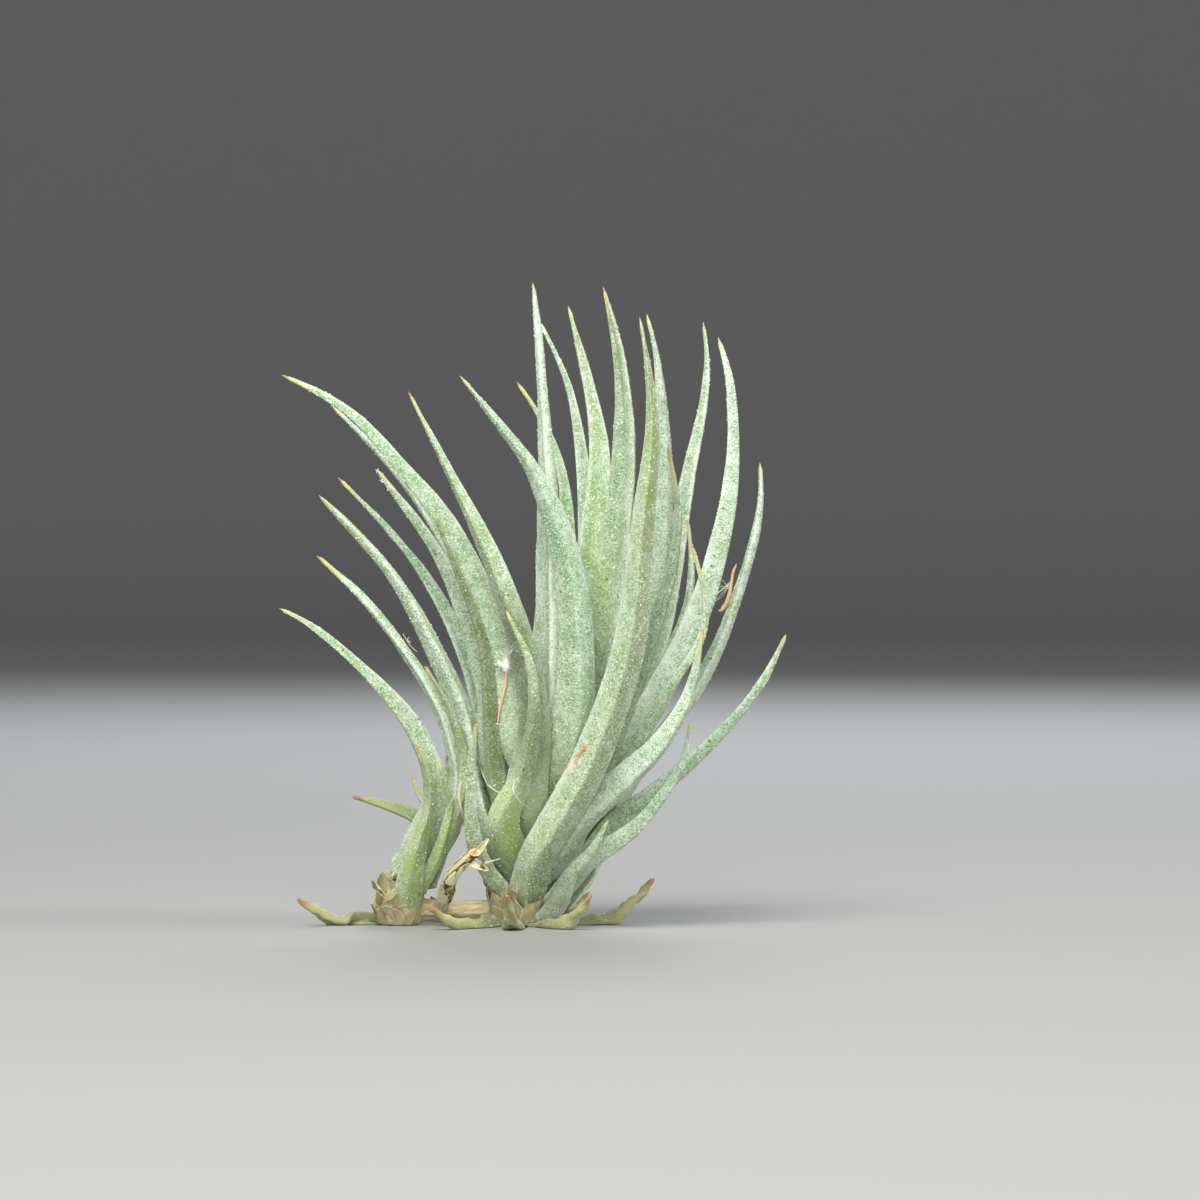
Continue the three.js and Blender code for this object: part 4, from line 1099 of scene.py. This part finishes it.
bracts = []
for first, last, side, reach, stand in stumpSettings["wraps"]:
    # a bract wrapped round the stalk, narrowing to its end
    bract, across, up = addStrip("wrap")
    share = first + (last - first) * up
    centre, ahead, sideWay, otherWay = frameAlong(path, share)
    angle = math.radians(side) + math.radians(reach) / 2 * across * (1 - 0.85 * up ** 2)
    radius = np.interp(share, np.linspace(0, 1, len(radii)), radii)
    radius = radius + (0.05 + stand * up ** 3 + 0.03 * waver(up * 3 + across, 1, chance)) * mm
    angle, radius = angle[:, None], radius[:, None]
    spots = centre + (sideWay * np.cos(angle) + otherWay * np.sin(angle)) * radius
    length = stumpSettings["length"] * (last - first)
    finishBract(bract, spots, across * 0.8, up, length, 0, chance)
    bracts.append(bract)
for start, end, width, curl, greenness in stumpSettings["ends"]:
    # the loose end of a bract, slightly channelled
    bract, across, up = addStrip("looseEnd")
    start, end = np.array(start) * mm, np.array(end) * mm
    length = np.linalg.norm(end - start)
    aim = (end - start) / length
    side = unit(np.cross(aim, (0.1, 1, 0.25)))
    face = np.cross(side, aim)
    half = width / 2 * mm * (1 - up ** 2.4 * 0.85)
    lift = curl * mm * up ** 2 + 0.03 * mm * waver(up * 3 + across, 1, chance)
    spots = (start + np.outer(up * length, aim) + np.outer(across * half, side)
             + np.outer(lift - across ** 2 * half * 0.5, face))
    finishBract(bract, spots, across * width / 2, up, length / mm, greenness, chance)
    bracts.append(bract)
stump = joinPieces([stump] + bracts, stump.name)
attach(stump, "root")
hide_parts("flower_stalk_stump")
print("stump:", len(stump.data.polygons))


# Dry strands, a tuft of plant wool and loose hairs that cling to the leaves. Each is a line of
# x and height in mm as seen from the front, laid on the leaf that is there.
strandSettings = {
    # colour 0 is grey-white hair, 0.6 tan fibre and 1 orange-brown; radius at both ends and
    # lift off the leaf in mm; flat squeezes a line against the leaf; and the leaf that it is on
    "lines": [
        # points, radii, colour, lift, flat, leaf
        ([(-5.3, 13.1), (-5.45, 11.7), (-5.2, 10.2), (-5.0, 9.0), (-4.45, 7.7), (-4.1, 7.2)],
         (0.16, 0.06), 0.45, 0.06, 0.5, None),
        ([(-1.2, 23.0), (-1.25, 22.0), (-1.6, 20.3), (-1.9, 18.8), (-1.95, 18.2)],
         (0.2, 0.06), 0.75, 0.1, 1, None),
        ([(-0.55, 25.2), (-0.85, 24.5), (-1.1, 23.8), (-1.25, 22.9)],
         (0.04, 0.42), 0.1, 0.2, 1, None),
        ([(-1.2, 23.3), (-1.55, 23.6), (-1.95, 23.85)], (0.36, 0.14), 0.1, 0.15, 1, None),
        ([(-3.75, 15.0), (-3.3, 13.5), (-2.6, 12.6), (-1.8, 12.25), (-0.8, 12.7)],
         (0.065, 0.04), 0, 0.08, 1, None),
        ([(-0.4, 13.3), (-0.55, 12.7), (-0.3, 12.1), (0.2, 11.4), (0.9, 10.9)],
         (0.055, 0.035), 0, 0.08, 1, None),
        ([(-5.7, 12.1), (-6.2, 11.2), (-6.5, 10.4)], (0.04, 0.03), 0, 0.08, 1, None),
        ([(0.1, 10.2), (0.5, 9.9)], (0.08, 0.05), 0.5, 0.04, 1, None),
        ([(-10.6, 26.3), (-10.0, 25.3), (-9.3, 24.6)], (0.025, 0.02), 0, 0.08, 1, None),
        # a healed scar along the long front leaf
        ([(6.25, 17.0), (6.0, 16.5), (5.75, 16.1)],
         (0.03, 0.3), 0.8, 0, 0.25, "leaf_front_long"),
        ([(6.05, 16.5), (5.6, 15.9), (5.2, 15.4)],
         (0.2, 0.3), 1, 0.005, 0.25, "leaf_front_long"),
        ([(5.4, 15.6), (5.0, 15.1), (4.5, 14.5)],
         (0.28, 0.03), 0.8, 0, 0.25, "leaf_front_long"),
        ([(5.0, 15.1), (4.3, 14.2), (3.7, 13.5), (3.2, 12.8)],
         (0.26, 0.03), 0.35, -0.01, 0.2, "leaf_front_long"),
        # the scrap that clings to the left edge of the far right leaf
        ([(19.55, 32.5), (19.25, 31.8), (19.1, 30.9), (18.9, 29.8), (18.6, 28.9), (18.1, 28.2)],
         (0.1, 0.22), 0.75, 0.05, 1, "leaf_far_right"),
    ],
    "hair": (0.022, 0.012),    # mm, radius at both ends of a loose hair
    "wool": (0.032, 0.014),    # and of a hair in a tuft
    # loose hairs: the leaf that they hang from, x and height in mm of both ends, and how many
    "wisps": [("leaf_far_right", (18.95, 30.9), (17.4, 29.4), 5),
              ("leaf_far_right", (18.95, 30.3), (17.6, 30.9), 3)],
    # knots of fine wool: x and height, radius in mm, how many hairs, their colour and leaf
    "tufts": [(-1.2, 23.5, 0.6, 160, 0, None), (-0.95, 24.2, 0.4, 60, 0, None),
              (-1.75, 23.6, 0.4, 60, 0, None), (-1.95, 18.3, 0.12, 12, 0, None),
              (-3.75, 15.0, 0.18, 30, 0, None), (18.0, 28.3, 0.16, 14, 0, "leaf_far_right"),
              (-10.2, 25.6, 0.3, 6, 0, None), (11.5, 18.6, 0.4, 12, 0, None),
              (13.0, 17.6, 0.4, 12, 0, None), (-12.9, 40.9, 0.2, 14, 0.2, "leaf_left_torn_tip"),
              (-12.5, 40.1, 0.22, 14, 0.1, "leaf_left_torn_tip"),
              (-11.9, 39.3, 0.18, 10, 0, "leaf_left_torn_tip"),
              (-11.2, 38.4, 0.18, 8, 0, "leaf_left_torn_tip")],
}
strandColours = {"wool": "#F3F0E6", "tan": "#EBCDA6", "brown": "#CE8440"}


def frontOf(x, z, leaf=None):
    # the depth in mm of the front-most leaf, or of one leaf, at a point seen from the front
    start = Vector((x * mm, -0.05, z * mm))
    names = [leaf] if leaf else leafTrees
    hits = [leafTrees[name].ray_cast(start, Vector((0, 1, 0)))[0] for name in names]
    depths = [hit.y / mm for hit in hits if hit]
    if depths:
        return min(depths)
    spots = readPoints(leaves[leaf or "leaf_far_right"].data) / mm
    return spots[np.argmin(np.hypot(spots[:, 0] - x, spots[:, 2] - z)), 1]


def makeDryFibre():
    # dead plant hair and fibre: matt and dry, from grey-white wool to orange-brown
    material, tree = newMaterial("dryPlantFibre")
    hue = addNode(tree, "ShaderNodeAttribute", attribute_name="hue").outputs["Fac"]
    space = addNode(tree, "ShaderNodeTexCoord").outputs["Object"]
    mottle = addNode(tree, "ShaderNodeTexNoise", {"Vector": space, "Scale": 1600, "Detail": 2})
    uneven = addNode(tree, "ShaderNodeMath",
            {0: mottle.outputs[0], 1: 0.4, 2: hue}, operation="MULTIPLY_ADD")
    colour = linear(strandColours["wool"])
    for name, start, full in (("tan", 0.35, 0.75), ("brown", 0.85, 1.25)):
        share = addNode(tree, "ShaderNodeMapRange",
                {"Value": uneven, "From Min": start, "From Max": full})
        colour = addNode(tree, "ShaderNodeMix",
                {0: share, 6: colour, 7: linear(strandColours[name])}, data_type="RGBA")
    finishMaterial(tree, {"Base Color": colour, "Roughness": 0.75, "Specular IOR Level": 0.3})
    return material


def addStrand(points, ends, hue, sides, steps, flat=1):
    # a thin tube along a few points in mm, tapered from one end's radius to the other's
    strand = addTube("strand", sides, steps)
    writePoints(strand.data, readPoints(strand.data) * (1, flat, 1))
    share = np.linspace(0, 1, steps + 1)
    radii = ends[0] + (ends[1] - ends[0]) * share
    radii = radii * np.sqrt(np.clip(np.minimum(share, 1 - share) * 12, 0.03, 1))
    layAlong(strand, throughPoints(points, steps + 1) * mm, radii * mm)
    writeLayer(strand.data, "hue", hue)
    strand.data.materials.append(dryFibre)
    bpy.ops.object.shade_smooth()
    strands.append(strand)


leafTrees = {name: BVHTree.FromPolygons([v.co for v in leaf.data.vertices],
                                        [tuple(face.vertices) for face in leaf.data.polygons])
             for name, leaf in leaves.items()}
dryFibre = makeDryFibre()
chance = random.Random(21)
strands = []
for points, ends, hue, lift, flat, leaf in strandSettings["lines"]:
    line = throughPoints([(x, 0, z) for x, z in points], 30)
    depths = np.array([frontOf(x, z, leaf) for x, _, z in line])
    padded = np.pad(depths, 2, mode="edge")
    front = np.array([padded[k:k + 5].min() for k in range(30)])    # it lies over small steps
    padded = np.pad((front + depths) / 2, 2, mode="edge")
    line[:, 1] = np.array([padded[k:k + 5].mean() for k in range(30)]) - lift
    addStrand(line, ends, hue, 8, 40, flat)
for leaf, held, free, count in strandSettings["wisps"]:
    depth = frontOf(*held, leaf)
    for k in range(count):
        shifts = [chance.uniform(-0.5, 0.5) for _ in range(4)]
        start = np.array([held[0], depth, held[1] + 0.4 * shifts[0]])
        end = np.array([free[0], depth - 0.4, free[1] + shifts[1]])
        bow = (start + end) / 2 + (0.5 * shifts[2], 0, shifts[3])
        addStrand([start, bow, end], strandSettings["hair"], 0, 4, 10)
for x, z, size, count, hue, leaf in strandSettings["tufts"]:
    depth = frontOf(x, z, leaf)
    for k in range(count):
        way = unit(np.array([chance.gauss(0, 1) for _ in range(3)]))
        bend = np.array([chance.gauss(0, 1) for _ in range(3)]) * size * 0.4
        reach = size * chance.uniform(0.5, 1.4)
        centre = np.array((x, depth - 0.1, z)) + way * size * 0.15
        points = np.array([centre, centre + way * reach * 0.5 + bend * 0.3,
                           centre + way * reach + bend])
        points[:, 1] = np.minimum(points[:, 1], depth - 0.04)
        addStrand(points, strandSettings["wool"], hue + chance.uniform(-0.1, 0.1), 4, 6)
looseFibres = joinPieces(strands, "looseFibres")
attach(looseFibres, "root")
print("strands:", len(looseFibres.data.polygons))


triangles = {piece.name: sum(len(face.vertices) - 2 for face in piece.data.polygons)
             for piece in bpy.context.scene.objects
             if piece.type == "MESH" and piece.name not in nodes and piece is not floor}
print("triangles:", sum(triangles.values()), "most:", max(triangles.values()))
